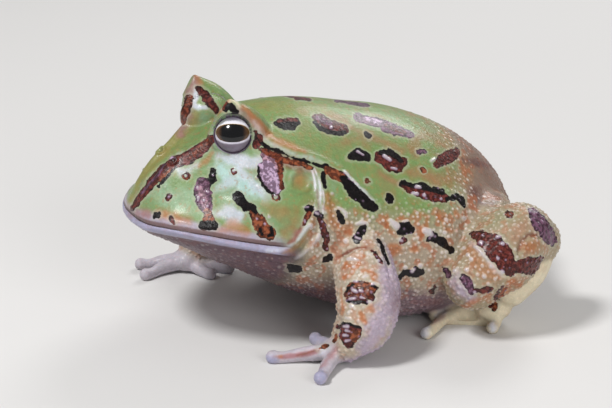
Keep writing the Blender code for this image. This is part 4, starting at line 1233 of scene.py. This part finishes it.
def layGround(points, normals, nodes, edges, wander):
    # plain regions first, softened into each other. The other two results say how far the rust mottling
    # shows and where the skin is plain
    colours = np.tile(np.array(groundTints["flank"]) / 255, (len(points), 1))
    mottled = np.full(len(points), mottling["trunk"])
    y, z = points[:, 1], points[:, 2]
    head = isOn(nodes, "head", "horn", "lower_jaw")
    trunk = isOn(nodes, "torso")
    limits = np.array(greenEdge)
    edgeWander, rearWander, greenWander = groundForm["wander"]
    above = z - np.interp(y, limits[:, 0], limits[:, 1]) + wander * edgeWander
    blend(colours, groundTints["belly"], trunk * falling("bellyTop", z))
    blend(colours, groundTints["throat"], trunk * falling("throatTop", z) * falling("throatRear", y))
    blend(colours, groundTints["rear"], trunk * rising("rear", y + wander * rearWander))
    blend(colours, groundTints["olive"], trunk * rising("oliveEdge", above) * falling("oliveRear", y))
    green = trunk * rising("greenEdge", above) * falling("greenRear", y + wander * greenWander)
    blend(colours, groundTints["green"], green)
    size, seed, fray = groundForm["patches"]
    patches = rising("tanPatch", wanderOf(points, size, seed) + fray * wander)
    inFront, more = groundForm["tanShare"]
    blend(colours, groundTints["tan"], green * patches * (inFront + more * rising("tanRear", y)))
    besides = trunk * rising("oliveEdge", above) * (1 - green)
    mottled *= 1 - mottling["green"] * green - mottling["olive"] * besides
    side = head * falling("headTop", normals[:, 2])
    blend(colours, groundTints["green"], head * 1.0)
    blend(colours, groundTints["cheekGreen"], side * falling("cheekRear", y))
    mottled = np.where(head, mottling["head"], mottled)
    neck = rising("neck", y + wander)
    blend(colours, groundTints["flank"], head * neck * falling("neckTop", z))
    blend(colours, groundTints["throat"], isOn(nodes, "lower_jaw") * (1 - neck))
    for words, (tint, amount) in limbGrounds.items():
        there = isOn(nodes, *words)
        blend(colours, groundTints[tint], there * 1.0)
        mottled = np.where(there, amount, mottled)
    arm = isOn(nodes, "upper_arm", "forearm")
    hindmost = rising("armRear", normals[:, 1]) + rising("armUnder", -normals[:, 2])
    blend(colours, groundTints["mauve"], arm * hindmost)
    mottled *= 1 - arm * np.clip(hindmost, 0, 1)
    mottled *= 1 - mottling["rump"] * trunk * rising("rumpMottle", y)
    start, end, higher = groundForm["chest"]
    low = 1 - smoothStep(start, end + higher * falling("chestMottle", y), z)
    mottled *= 1 - mottling["chest"] * trunk * low
    colourRounds, mottleRounds, plainRounds = groundForm["rounds"]
    colours = blurred(colours, edges, colourRounds)
    seam = bell(y, throatSeam["place"], throatSeam["reach"]) * falling("seamTop", z)
    colours += (blurred(colours, edges, throatSeam["rounds"]) - colours) * seam[:, None]
    plainBack = trunk * rising("plainEdge", above) * falling("plainRear", y)
    plain = np.maximum(plainBack, head * (z > plainHeadHeight))
    return colours, blurred(mottled, edges, mottleRounds), blurred(plain, edges, plainRounds)


castForm = {
    "slant": 0.36,  # how much the depth along the line of sight counts
    "turned": 0.3,  # skin turned away from the eye by this much gets nothing, and less a little before
    "fade": 2.5,
    "hiddenTurn": (-0.1, 0.15),  # on the unseen side: skin turned to the camera by this much gets nothing
    "hiddenFade": 3,
    "drift": 0.7,  # how far the unseen side's own string may stand from the mirrored one
    "farSize": (0.85, 1.1),  # and how its size may differ
    "brushReach": 2,  # shares of a brush's softness: how far it reaches, and how far its edge wanders
    "brushWander": 1.1,
    "markReach": 1.5,  # distances to a marking are followed this far, and beyond it they have the next value
    "markFar": 3.0,
    "ringFar": 0.5,  # a ring's tint reaches this far
}


def placedBeads(surface, pixels, far, rng):
    # a string of pixel beads on the side that shows, and its like on the other side, a little apart
    near = np.array([surface.atPixel((u, v)) for u, v, _ in pixels])
    radii = np.array([r for _, _, r in pixels]) / cameraView["pixelsPerMm"]
    eye = np.array(cameraAxes()[2]) * cameraView["distance"] + np.array(cameraView["aim"])
    strings = [(near, radii, eye)]
    if not far:
        drift = rng.uniform(-castForm["drift"], castForm["drift"], 3)
        other = np.array([surface.nearest(mirroredPoint(p) + drift) for p in near])
        strings.append((other, radii * rng.uniform(*castForm["farSize"]), mirroredPoint(eye)))
    return strings


def drawnDistance(points, normals, chain, radii, eye, reach):
    # which points a string comes near to, and their signed distances to it as seen from the eye
    way = chain.mean(axis=0) - eye
    way /= np.linalg.norm(way)
    slant, turned = castForm["slant"], castForm["turned"]
    near = nearby(points, chain, (radii.max() + reach) / slant)
    near = near[normals[near] @ way < turned]
    gap = chainDistance(flattened(points[near], way, slant), flattened(chain, way, slant), radii)
    gap += castForm["fade"] * smoothStep(0, turned, normals[near] @ way)
    if eye[0] < 0:  # the unseen side keeps its own markings out of sight
        facing = normals[near] @ np.array(cameraAxes()[2])
        gap += castForm["hiddenFade"] * smoothStep(*castForm["hiddenTurn"], facing)
    return near, gap


def brushOn(colours, mottled, points, normals, surface, wander):
    rng = np.random.default_rng(21)
    jobs = [(entry, False) for entry in brushes.values()] + [(entry, True) for entry in farBrushes.values()]
    for (tint, strength, softness, pixels), far in jobs:
        for chain, radii, eye in placedBeads(surface, pixels, far, rng):
            near, gap = drawnDistance(points, normals, chain, radii, eye, softness * castForm["brushReach"])
            gap += wander[near] * softness * castForm["brushWander"]
            weight = strength * (1 - smoothStep(-softness, softness, gap))
            part = colours[near]
            blend(part, groundTints[tint], weight)
            colours[near] = part
            if tint in ("milk", "teal", "mauve", "cream"):
                mottled[near] *= 1 - weight


def inkMarks(points, normals, surface):
    # signed distance to the nearest marking, and that marking's own tint
    rng = np.random.default_rng(5)
    gap = np.full(len(points), castForm["markFar"])
    tints = np.tile(np.array(inkTints["maroon"]) / 255, (len(points), 1))
    jobs = [(entry, False) for entry in marks.values()] + [(entry, True) for entry in farMarks.values()]
    for (tint, pixels), far in jobs:
        for chain, radii, eye in placedBeads(surface, pixels, far, rng):
            near, here = drawnDistance(points, normals, chain, radii, eye, castForm["markReach"])
            over = (here < gap[near]) | (here < 0)  # a later one lies over an earlier one
            tints[near[over]] = np.array(inkTints[tint]) / 255
            gap[near] = np.minimum(gap[near], here)
    perMm = cameraView["pixelsPerMm"]
    for tint, (u, v, radius, width) in ringMarks.values():
        for (centre,) in bothSides(surface, [(u, v)]):
            here = np.abs(distances(points, centre) - radius / perMm) - width / perMm
            tints[here < np.minimum(gap, castForm["ringFar"])] = np.array(inkTints[tint]) / 255
            gap = np.minimum(gap, here)
    return gap, tints


def setAttribute(mesh, name, kind, values):
    made = mesh.attributes.new(name, kind, "POINT")
    if kind == "FLOAT_COLOR":
        rows = np.column_stack([linear(values * 255), np.ones(len(values))])
        made.data.foreach_set("color", rows.astype(np.float32).ravel())
    else:
        made.data.foreach_set("value", values.astype(np.float32))


# Shader wiring


class Wiring:
    def __init__(self, tree):
        self.tree = tree

    def feed(self, value, socket):
        if isinstance(value, bpy.types.NodeSocket):
            self.tree.links.new(value, socket)
        elif value is not None:
            socket.default_value = value

    def node(self, kind, **settings):
        made = self.tree.nodes.new("ShaderNode" + kind)
        for name, value in settings.items():
            setattr(made, name, value)
        return made

    def math(self, operation, a, b=None):
        made = self.node("Math", operation=operation)
        self.feed(a, made.inputs[0])
        self.feed(b, made.inputs[1])
        return made.outputs[0]

    def times(self, a, b):
        return self.math("MULTIPLY", a, b)

    def plus(self, a, b):
        return self.math("ADD", a, b)

    def minus(self, a, b):
        return self.math("SUBTRACT", a, b)

    def power(self, value, unit, exponent):
        # the size of the value, measured in this unit, raised to the exponent
        return self.math("POWER", self.math("DIVIDE", self.math("ABSOLUTE", value), unit), exponent)

    def swing(self, value, reach):
        # a noise between 0 and 1, spread to both sides of 0
        return self.times(self.minus(value, 0.5), reach)

    def step(self, value, low, high, first=0.0, last=1.0):
        made = self.node("MapRange", interpolation_type="SMOOTHSTEP")
        for socket, given in zip(made.inputs, (value, low, high, first, last)):
            self.feed(given, socket)
        return made.outputs[0]

    def mix(self, factor, a, b, way="MIX"):
        made = self.node("Mix", data_type="RGBA", blend_type=way)
        self.feed(factor, made.inputs[0])
        for socket, given in ((made.inputs[6], a), (made.inputs[7], b)):
            self.feed((*given, 1) if isinstance(given, (tuple, np.ndarray)) else given, socket)
        return made.outputs[2]

    def shade(self, colour, share):
        # the colour with each of its parts multiplied by a share
        return self.mix(1.0, colour, share, "MULTIPLY")

    def noise(self, place, size, detail=2.0, rough=0.5):
        made = self.node("TexNoise")
        self.feed(place, made.inputs["Vector"])
        made.inputs["Scale"].default_value = 1 / (size * mm)
        made.inputs["Detail"].default_value = detail
        made.inputs["Roughness"].default_value = rough
        return made.outputs["Fac"]

    def attribute(self, name, output="Fac"):
        return self.node("Attribute", attribute_name=name).outputs[output]

    def bump(self, height, strength, depth, shader):
        made = self.node("Bump")
        made.inputs["Strength"].default_value = strength
        made.inputs["Distance"].default_value = depth * mm
        self.feed(height, made.inputs["Height"])
        self.feed(made.outputs["Normal"], shader.inputs["Normal"])


def srgb(tint):
    return tuple(linear(tint))


def setShader(shader, values):
    for name, value in values.items():
        shader.inputs[name].default_value = value


# each noise as its size in millimetres, its detail and its roughness
grainForm = {"pores": (0.22, 3.0, 0.6), "poreDepth": 0.5, "pebbleDepth": -0.8, "patches": (1.7, 3.0, 0.6)}


def skinGrain():
    # fine pebbled skin: a height for bump and a slow patchy value, shared by the skin and the lids
    tree = bpy.data.node_groups.new("skinGrain", "ShaderNodeTree")
    tree.interface.new_socket("Pebble Size", in_out="INPUT", socket_type="NodeSocketFloat")
    tree.interface.new_socket("Height", in_out="OUTPUT", socket_type="NodeSocketFloat")
    tree.interface.new_socket("Patches", in_out="OUTPUT", socket_type="NodeSocketFloat")
    wires = Wiring(tree)
    given = tree.nodes.new("NodeGroupInput")
    result = tree.nodes.new("NodeGroupOutput")
    place = wires.node("TexCoord").outputs["Object"]
    pebbles = wires.node("TexVoronoi", feature="SMOOTH_F1")
    wires.feed(place, pebbles.inputs["Vector"])
    scale = wires.math("DIVIDE", 1 / mm, given.outputs["Pebble Size"])
    wires.feed(scale, pebbles.inputs["Scale"])
    pores = wires.times(wires.noise(place, *grainForm["pores"]), grainForm["poreDepth"])
    domes = wires.times(pebbles.outputs["Distance"], grainForm["pebbleDepth"])
    wires.feed(wires.plus(domes, pores), result.inputs["Height"])
    wires.feed(wires.noise(place, *grainForm["patches"]), result.inputs["Patches"])
    return tree


def newMaterial(name):
    material = bpy.data.materials.new(name)
    material.use_nodes = True
    return material, Wiring(material.node_tree), material.node_tree.nodes["Principled BSDF"]


def useGroup(wires, group, size):
    made = wires.node("Group", node_tree=group)
    made.inputs["Pebble Size"].default_value = size
    return made


# tints as sRGB values, shades as the share kept of each colour, and sizes of noise in millimetres. A range
# says where a value starts and ends to count, and may add what it then gives at either end
skinFinish = {
    "pebble": 0.6,
    "bump": 0.6,
    "bumpDepth": 0.16,
    "patchRange": (0.3, 0.7, 0.0, 0.35),
    "patchShade": (0.62, 0.66, 0.6),
    "speckSize": 0.5,
    "speckRange": (0.5, 0.75, 0.0, 0.3),
    "speckShade": (1.5, 1.45, 1.4),
    "veinSize": 2.7,
    "rust": (176, 100, 60),
    "rustRange": (0.50, 0.60),
    "rustStrength": 0.85,
    "darkRust": (122, 62, 42),
    "darkRange": (0.64, 0.72),
    "darkStrength": 0.6,
    # painted shade: the skin between the beads is darkened where shade falls between them
    "beadGapShadeRange": (0.2, 0.0, 0.0, 0.5),  # between the beads
    "beadGapShadeShare": (0.62, 0.57, 0.54),
    # pale bead tops: partly the beads' own colour, partly painted highlight
    "crown": (214, 206, 200),
    "crownPaleAndHighlightRange": (0.08, 0.75),
    "crownPaleAndHighlightMottle": (0.0, 0.7, 0.15, 0.62),
    "freckle": (160, 116, 74),
    "freckles": (1.3, 4.0, 0.7),  # size, detail and roughness
    "freckleRange": (0.54, 0.64),
    "greenRange": (0.02, 0.08, 0.0, 0.42),  # freckles show only where green is over red by this much
    "grow": 0.20,  # markings spread this much past their beads
    "fray": ((1.9, 1.7), (0.6, 0.4)),  # their ragged edges: size and reach of two noises
    "edgeRange": (0.08, -0.08),
    "brokenSize": 1.4,
    "brokenRange": (0.44, 0.58),
    "rimInk": (20, 11, 12),
    "rimRange": (-0.50, -0.16),
    "rimStrength": 0.85,
    "inkClouds": (0.8, 3.0),  # size and detail
    "inkRange": (0.44, 0.6),
    "inkShade": (0.34, 0.30, 0.32),
    # lilac bead tops on markings: partly the warts' own colour, partly painted highlight
    "inkCrownLilacAndHighlight": (150, 124, 150),
    "inkCrownLilacAndHighlightRange": (0.3, 0.9, 0.0, 0.6),
    "halo": (176, 176, 158),
    "haloRange": (0.75, 0.15),
    "haloStrength": 0.35,
    # pale wart tops: partly their own colour, partly painted highlight
    "wartPaleAndHighlight": (190, 182, 186),
    "wartPaleAndHighlightRange": (0.6, 2.0, 0.0, 0.8),
    "lipWave": 0.2,
    "lipBandStrength": 0.85,
    "lipBandAbove": (-1.15, -0.75),
    "lipBandBelow": (0.3, 0.05),
    "lipLineRange": (0.32, 0.12, 0.0, 0.8),
    "roughRange": (0.3, 0.7, 0.35, 0.53),
    "crownGloss": 0.12,
    "inkGloss": 0.08,
    "coatRange": (0.2, 1.4, 0.14, 0.7),
    "shader": {
        "Subsurface Weight": 0.10,
        "Subsurface Radius": (1.0, 0.45, 0.3),
        "Subsurface Scale": 0.0012,
        "Specular IOR Level": 0.3,
        "Coat Roughness": 0.16,
    },
}


def groundLook(wires, place, patches, speck, crown):
    # the painted ground with its patches, rust veins, painted shade between the beads, pale bead tops that
    # are partly their own colour and partly painted highlight, and freckles
    finish = skinFinish
    painted = wires.attribute("ground", "Color")
    mottle = wires.attribute("mottled")
    patchy = wires.step(patches, *finish["patchRange"])
    colour = wires.mix(patchy, painted, wires.shade(painted, finish["patchShade"]))
    specked = wires.step(speck, *finish["speckRange"])
    colour = wires.mix(specked, colour, wires.shade(colour, finish["speckShade"]))
    veins = wires.noise(place, finish["veinSize"])
    rusty = wires.times(wires.step(veins, *finish["rustRange"]), mottle)
    colour = wires.mix(wires.times(rusty, finish["rustStrength"]), colour, srgb(finish["rust"]))
    darker = wires.times(wires.step(veins, *finish["darkRange"]), mottle)
    colour = wires.mix(wires.times(darker, finish["darkStrength"]), colour, srgb(finish["darkRust"]))
    # painted shade between the beads
    beadGapShade = wires.times(wires.step(crown, *finish["beadGapShadeRange"]), mottle)
    colour = wires.mix(beadGapShade, colour, wires.shade(colour, finish["beadGapShadeShare"]))
    # pale bead tops, partly painted highlight
    onMottle = wires.step(mottle, *finish["crownPaleAndHighlightMottle"])
    paleTopsAndHighlights = wires.times(wires.step(crown, *finish["crownPaleAndHighlightRange"]), onMottle)
    colour = wires.mix(paleTopsAndHighlights, colour, srgb(finish["crown"]))
    parts = wires.node("SeparateColor")
    wires.feed(painted, parts.inputs["Color"])
    greenish = wires.step(wires.minus(parts.outputs["Green"], parts.outputs["Red"]), *finish["greenRange"])
    dotted = wires.step(wires.noise(place, *finish["freckles"]), *finish["freckleRange"])
    return wires.mix(wires.times(dotted, greenish), colour, srgb(finish["freckle"]))


def markingLook(wires, place, crown, colour):
    # markings with ragged edges, a black outline inside and a pale one outside, lilac bead tops that are
    # partly their own colour and partly painted highlight, and how far they fill
    finish = skinFinish
    wide, narrow = (wires.swing(wires.noise(place, size), reach) for size, reach in finish["fray"])
    gap = wires.plus(wires.attribute("markGap"), wires.plus(wide, narrow))
    gap = wires.minus(gap, finish["grow"])
    fill = wires.step(gap, *finish["edgeRange"])
    broken = wires.step(wires.noise(place, finish["brokenSize"]), *finish["brokenRange"])
    outline = wires.times(wires.step(gap, *finish["rimRange"]), broken)
    ink = wires.attribute("markTint", "Color")
    cloudy = wires.step(wires.noise(place, *finish["inkClouds"]), *finish["inkRange"])
    ink = wires.mix(cloudy, wires.shade(ink, finish["inkShade"]), ink)
    ink = wires.mix(wires.times(outline, finish["rimStrength"]), ink, srgb(finish["rimInk"]))
    # lilac bead tops inside markings, partly painted highlight
    ink = wires.mix(wires.step(crown, *finish["inkCrownLilacAndHighlightRange"]), ink, srgb(finish["inkCrownLilacAndHighlight"]))
    halo = wires.times(wires.step(gap, *finish["haloRange"]), finish["haloStrength"])
    colour = wires.mix(halo, colour, srgb(finish["halo"]))
    return wires.mix(fill, colour, ink), fill


def lipLook(wires, speck, colour):
    # the brownish edge of the upper lip, and the dark line below it
    finish = skinFinish
    lip = wires.plus(wires.attribute("lip"), wires.swing(speck, finish["lipWave"]))
    shown = wires.attribute("lipShown")
    band = wires.times(wires.step(lip, *finish["lipBandAbove"]), wires.step(lip, *finish["lipBandBelow"]))
    band = wires.times(wires.times(band, shown), finish["lipBandStrength"])
    colour = wires.mix(band, colour, srgb(groundTints["lipEdge"]))
    line = wires.times(wires.step(wires.math("ABSOLUTE", lip), *finish["lipLineRange"]), shown)
    return wires.mix(line, colour, srgb(groundTints["gap"]))


def skinMaterial(grain):
    finish = skinFinish
    material, wires, shader = newMaterial("frogSkin")
    place = wires.node("TexCoord").outputs["Object"]
    pebbled = useGroup(wires, grain, finish["pebble"])
    speck = wires.noise(place, finish["speckSize"])
    crown = wires.attribute("crown")
    colour = groundLook(wires, place, pebbled.outputs["Patches"], speck, crown)
    colour, fill = markingLook(wires, place, crown, colour)
    # pale wart tops, partly painted highlight
    colour = wires.mix(wires.step(crown, *finish["wartPaleAndHighlightRange"]), colour, srgb(finish["wartPaleAndHighlight"]))
    wires.feed(lipLook(wires, speck, colour), shader.inputs["Base Color"])
    rough = wires.minus(wires.step(speck, *finish["roughRange"]), wires.times(crown, finish["crownGloss"]))
    wires.feed(wires.minus(rough, wires.times(fill, finish["inkGloss"])), shader.inputs["Roughness"])
    wires.feed(wires.step(crown, *finish["coatRange"]), shader.inputs["Coat Weight"])
    setShader(shader, finish["shader"])
    wires.bump(pebbled.outputs["Height"], finish["bump"], finish["bumpDepth"], shader)
    return material


# Eyeballs and lid rims


def placeObject(mesh):
    # a smooth object of this mesh that rides on the frog's one body
    for polygon in mesh.polygons:
        polygon.use_smooth = True
    made = bpy.data.objects.new(mesh.name, mesh)
    bpy.context.scene.collection.objects.link(made)
    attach(made, "root")
    return made


eyeballForm = {
    "segments": (96, 64),
    "under": 0.04,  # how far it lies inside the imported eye
    "cornea": (0.22, 0.55),  # how proud it stands, and where it starts as a share of the radius
    "behind": 9.0,  # what the back of the eyeball has in place of its distances from the pupil
}


def buildEyeball(word):
    centre, radius, gaze, rear, up = eyePlace(word)
    around, along = eyeballForm["segments"]
    bm = bmesh.new()
    size = (radius - eyeballForm["under"]) * mm
    bmesh.ops.create_uvsphere(bm, u_segments=around, v_segments=along, radius=size)
    mesh = bpy.data.meshes.new("eyeball_" + word)
    bm.to_mesh(mesh)
    bm.free()
    local = pointsOf(mesh)  # the sphere's own pole looks along the gaze
    ahead = local[:, 2].copy()
    proud, start = eyeballForm["cornea"]
    local[:, 2] += proud * smoothStep(radius * start, radius, ahead)
    setPoints(mesh, centre + local @ np.array((rear, up, gaze)))
    if word == "right":
        mesh.flip_normals()
    for name, column in (("eyeAcross", 0), ("eyeUp", 1)):
        setAttribute(mesh, name, "FLOAT", np.where(ahead > 0, local[:, column], eyeballForm["behind"]))
    eye = placeObject(mesh)
    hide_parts("eye_" + word)
    return eye


irisLook = {
    "pupil": (3.62, 1.98, 0.38),  # half length, half height, and how far over the middle
    "blackHalf": 3.05,  # past this the pupil's ends are brown
    "roundness": (2.5, 2.2, 2.0),  # of the pupil and its black part lengthwise, and of both upwards
    "ripple": (0.7, 0.10),  # waves in the pupil's edge: size and reach
    # over the height on the eyeball, in millimetres
    "lowerToUpper": (-0.3, 0.3),
    "silverToLavender": (2.9, 3.7),
    # over the pupil's own measure, which is 1 on its edge
    "pupilToIris": (1.0, 1.05),
    "lavenderToGold": (1.16, 1.02),
    "lowerFade": (1.15, 1.7),
    "blackToBrown": (0.9, 1.15),
    # brown at the two ends: over the distance from the middle and over the pupil's measure
    "endAcross": (2.2, 2.9),
    "endNear": (1.3, 1.0),
    "endStrength": 0.5,
    "streaks": (0.28, 3.0, 0.7),  # size, detail and roughness
    "streakRange": (0.35, 0.7, 0.0, 0.3),
    "irisEdge": (3.72, 3.90),
    "black": (0.002, 0.002, 0.003),  # linear
    "silver": (232, 230, 240),
    "lavender": (168, 156, 182),
    "gold": (214, 184, 120),
    "brown": (84, 56, 32),
    "lowerEdge": (226, 222, 236),
    "lower": (122, 110, 126),
    "ring": (64, 56, 70),
    "streakShade": (0.6, 0.58, 0.6),
    "shader": {
        "Roughness": 0.25,
        "Specular IOR Level": 0.1,
        "Coat Weight": 0.9,
        "Coat Roughness": 0.03,
    },
}


def eyeMaterial():
    look = irisLook
    named = ("silver", "lavender", "gold", "brown", "lowerEdge", "lower", "ring")
    tints = {name: srgb(look[name]) for name in named}
    material, wires, shader = newMaterial("glossyEye")
    across = wires.attribute("eyeAcross")
    up = wires.attribute("eyeUp")
    place = wires.node("TexCoord").outputs["Object"]
    half, tall, lift = look["pupil"]
    pupilPower, blackPower, upPower = look["roundness"]
    over = wires.power(wires.minus(up, lift), tall, upPower)
    waveSize, waveReach = look["ripple"]
    ripple = wires.swing(wires.noise(place, waveSize), waveReach)
    pupil = wires.plus(wires.plus(wires.power(across, half, pupilPower), over), ripple)
    upper = wires.mix(wires.step(up, *look["silverToLavender"]), tints["silver"], tints["lavender"])
    upper = wires.mix(wires.step(pupil, *look["lavenderToGold"]), upper, tints["gold"])
    lower = wires.mix(wires.step(pupil, *look["lowerFade"]), tints["lowerEdge"], tints["lower"])
    iris = wires.mix(wires.step(up, *look["lowerToUpper"]), lower, upper)
    streaks = wires.step(wires.noise(place, *look["streaks"]), *look["streakRange"])
    iris = wires.mix(streaks, iris, wires.shade(iris, look["streakShade"]))
    black = wires.plus(wires.power(across, look["blackHalf"], blackPower), over)
    dark = wires.mix(wires.step(black, *look["blackToBrown"]), look["black"], tints["brown"])
    colour = wires.mix(wires.step(pupil, *look["pupilToIris"]), dark, iris)
    outward = wires.step(wires.math("ABSOLUTE", across), *look["endAcross"])
    ends = wires.times(outward, wires.step(pupil, *look["endNear"]))
    colour = wires.mix(wires.times(ends, look["endStrength"]), colour, tints["brown"])
    radius = wires.math("SQRT", wires.plus(wires.times(across, across), wires.times(up, up)))
    colour = wires.mix(wires.step(radius, *look["irisEdge"]), colour, tints["ring"])
    wires.feed(colour, shader.inputs["Base Color"])
    setShader(shader, look["shader"])
    return material


lidForm = {"around": 120, "across": 14, "proud": 0.05, "upperFrom": (-0.35, 0.5)}


def buildLidRim(word):
    centre, radius, gaze, rear, up = eyePlace(word)
    around, across = lidForm["around"], lidForm["across"]
    ring = eyeLook["rimRadius"]
    depth = math.sqrt(radius**2 - ring**2)
    bm = bmesh.new()
    rings, share = [], []
    for i in range(around):
        turn = 2 * math.pi * i / around
        out = rear * math.cos(turn) + up * math.sin(turn)
        upper = float(smoothStep(*lidForm["upperFrom"], math.sin(turn)))
        wide, deep = (a + (b - a) * upper for a, b in zip(eyeLook["lowerRim"], eyeLook["upperRim"]))
        middle = centre + out * ring + gaze * (depth + lidForm["proud"])
        tilt = (out * ring + gaze * depth) / radius
        along = out - tilt * out.dot(tilt)
        along /= np.linalg.norm(along)
        row = []
        for j in range(across):
            roll = 2 * math.pi * j / across
            place = middle + along * math.cos(roll) * wide + tilt * math.sin(roll) * deep
            row.append(bm.verts.new(Vector(place) * mm))
            share.append(math.cos(roll))
        rings.append(row)
    for i, row in enumerate(rings):
        following = rings[(i + 1) % around]
        for j in range(across):
            k = (j + 1) % across
            bm.faces.new((row[j], row[k], following[k], following[j]))
    bmesh.ops.recalc_face_normals(bm, faces=bm.faces)
    mesh = bpy.data.meshes.new("lidRim_" + word)
    bm.to_mesh(mesh)
    bm.free()
    setAttribute(mesh, "rimShare", "FLOAT", np.array(share))
    return placeObject(mesh)


lidFinish = {
    "pebble": 0.4,
    "bump": 0.25,
    "bumpDepth": 0.06,
    "roughness": 0.3,
    "dark": (158, 148, 168),
    "pale": (196, 188, 204),
    "edge": (88, 74, 90),
    "patchRange": (0.35, 0.65),
    "edgeRange": (0.7, 0.97),
}


def lidMaterial(grain):
    material, wires, shader = newMaterial("lidEdge")
    pebbled = useGroup(wires, grain, lidFinish["pebble"])
    share = wires.math("ABSOLUTE", wires.attribute("rimShare"))
    patches = wires.step(pebbled.outputs["Patches"], *lidFinish["patchRange"])
    colour = wires.mix(patches, srgb(lidFinish["dark"]), srgb(lidFinish["pale"]))
    colour = wires.mix(wires.step(share, *lidFinish["edgeRange"]), colour, srgb(lidFinish["edge"]))
    wires.feed(colour, shader.inputs["Base Color"])
    shader.inputs["Roughness"].default_value = lidFinish["roughness"]
    wires.bump(pebbled.outputs["Height"], lidFinish["bump"], lidFinish["bumpDepth"], shader)
    return material


# The skin put together


def mouthDistance(points, edges, headward):
    # signed distance to the mouth line: under 0 on the head and over 0 on the jaw
    reach = mouthForm["reach"]
    lip = distanceTo("head", points) - distanceTo("lower_jaw", points)
    return blurred(np.where(headward, np.clip(lip, -reach, reach), reach), edges, 5)


def raiseForms(mesh, edges, lip, headward, cornerY, surface):
    # folds, lips and nostrils, then the limbs drawn into place and the hip run smoothly into the rump
    slitWidth, slitRounds = mouthForm["slit"]
    slit = headward * bell(lip, 0, slitWidth)
    points = meltedAt(pointsOf(mesh), edges, slit, slitRounds)
    setPoints(mesh, points)
    points += blurred(normalsOf(mesh), edges, 3) * formLift(points, surface, lip, cornerY)[:, None]
    points = meltedAt(points, edges, slit, 4)
    points = pullPlaces(points, surface)
    for (centre,) in bothSides(surface, [meltForm["pixel"]]):
        weight = bell(distances(points, centre), 0, meltForm["radius"])
        points = meltedAt(points, edges, weight, meltForm["rounds"])
    setPoints(mesh, points)
    return points


def paintLips(colours, lip, shown, wander):
    upper = smoothStep(*mouthForm["upperTint"], lip + wander * mouthForm["tintWander"]) * (lip < 0)
    blend(colours, groundTints["lip"], shown * upper * mouthForm["upperStrength"])
    lower = (1 - smoothStep(*mouthForm["lowerTint"], lip)) * (lip >= 0)
    blend(colours, groundTints["lowerLip"], shown * lower)


def roughPlaces(points, nodes, edges, lip, plain, surface):
    # how thickly beads cover each place, from 0 to 1
    y, z = points[:, 1], points[:, 2]
    rough = np.clip(1.0 - plain * beadless["plain"], 0, 1)
    rough *= 1 - isOn(nodes, "hand", "foot") * beadless["hand"]
    rough *= 1 - isOn(nodes, "head") * falling("beadlessHead", y)
    rough *= 1 - isOn(nodes, "horn") * beadless["horn"]
    rear = isOn(nodes, "torso") * rising("thinnerRear", y) * rising("thinnerTop", z)
    rough *= 1 - beadless["rear"] * rear
    jaw = np.where(lip < mouthForm["beadless"], beadless["lip"], beadless["jaw"])
    rough *= 1 - isOn(nodes, "lower_jaw") * jaw
    for radius, pixel in smoothPlaces.values():
        for (centre,) in bothSides(surface, [pixel]):
            rough *= 1 - beadless["smooth"] * bell(distances(points, centre), 0, radius)
    return blurred(rough, edges, 6)


# the edges of regions and markings wander by two noises: size in millimetres, strength and seed
wanderForm = ((3.2, 0.7, 1), (1.3, 0.5, 2))


def dressSkin(skin, grain):
    mesh = skin.data
    surface = SkinMap(skin)
    points, edges = pointsOf(mesh), edgesOf(mesh)
    nodes = nodeAt(points)
    headward = isOn(nodes, "head", "lower_jaw")
    lip = mouthDistance(points, edges, headward)
    cornerY = surface.atPixel(mouthForm["cornerPixel"])[1]
    points = raiseForms(mesh, edges, lip, headward, cornerY, surface)
    surface = SkinMap(skin)
    print("folds, lips and nostrils raised")
    normals = blurred(normalsOf(mesh), edges, 6)
    wander = sum(wanderOf(points, size, seed) * strength for size, strength, seed in wanderForm)
    colours, mottled, plain = layGround(points, normals, nodes, edges, wander)
    tintStart, tintEnd = mouthForm["tintFade"]
    shown = headward * (1 - smoothStep(cornerY + tintStart, cornerY + tintEnd, points[:, 1]))
    paintLips(colours, lip, shown, wander)
    brushOn(colours, mottled, points, normals, surface, wander)
    gap, tints = inkMarks(points, normals, surface)
    rough = roughPlaces(points, nodes, edges, lip, plain, surface)
    lift, crown = addBeads(points, rough, gap, surface)
    raisePaleWartsAndHighlights(points, normals, surface, wander, lift, crown)
    points += normalsOf(mesh) * lift[:, None]
    setPoints(mesh, openRoundEyes(points))
    print("beads and warts raised")
    for name, values in (("ground", colours), ("markTint", tints)):
        setAttribute(mesh, name, "FLOAT_COLOR", values)
    singles = {"markGap": gap, "mottled": mottled, "crown": crown, "lip": lip, "lipShown": shown}
    for name, values in singles.items():
        setAttribute(mesh, name, "FLOAT", values)
    mesh.materials.clear()
    mesh.materials.append(skinMaterial(grain))
    for polygon in mesh.polygons:
        polygon.use_smooth = True
    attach(skin, "root")
    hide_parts(*fleshNames)


buildCamera()
buildRoom()
print("camera and room ready")
skin = buildSkinForm()
print("skin form joined:", len(skin.data.vertices), "points")
grain = skinGrain()
dressSkin(skin, grain)
print("skin painted")
eyeGloss = eyeMaterial()
lidEdge = lidMaterial(grain)
for word in ("left", "right"):
    buildEyeball(word).data.materials.append(eyeGloss)
    buildLidRim(word).data.materials.append(lidEdge)
print("eyes and lids in place")
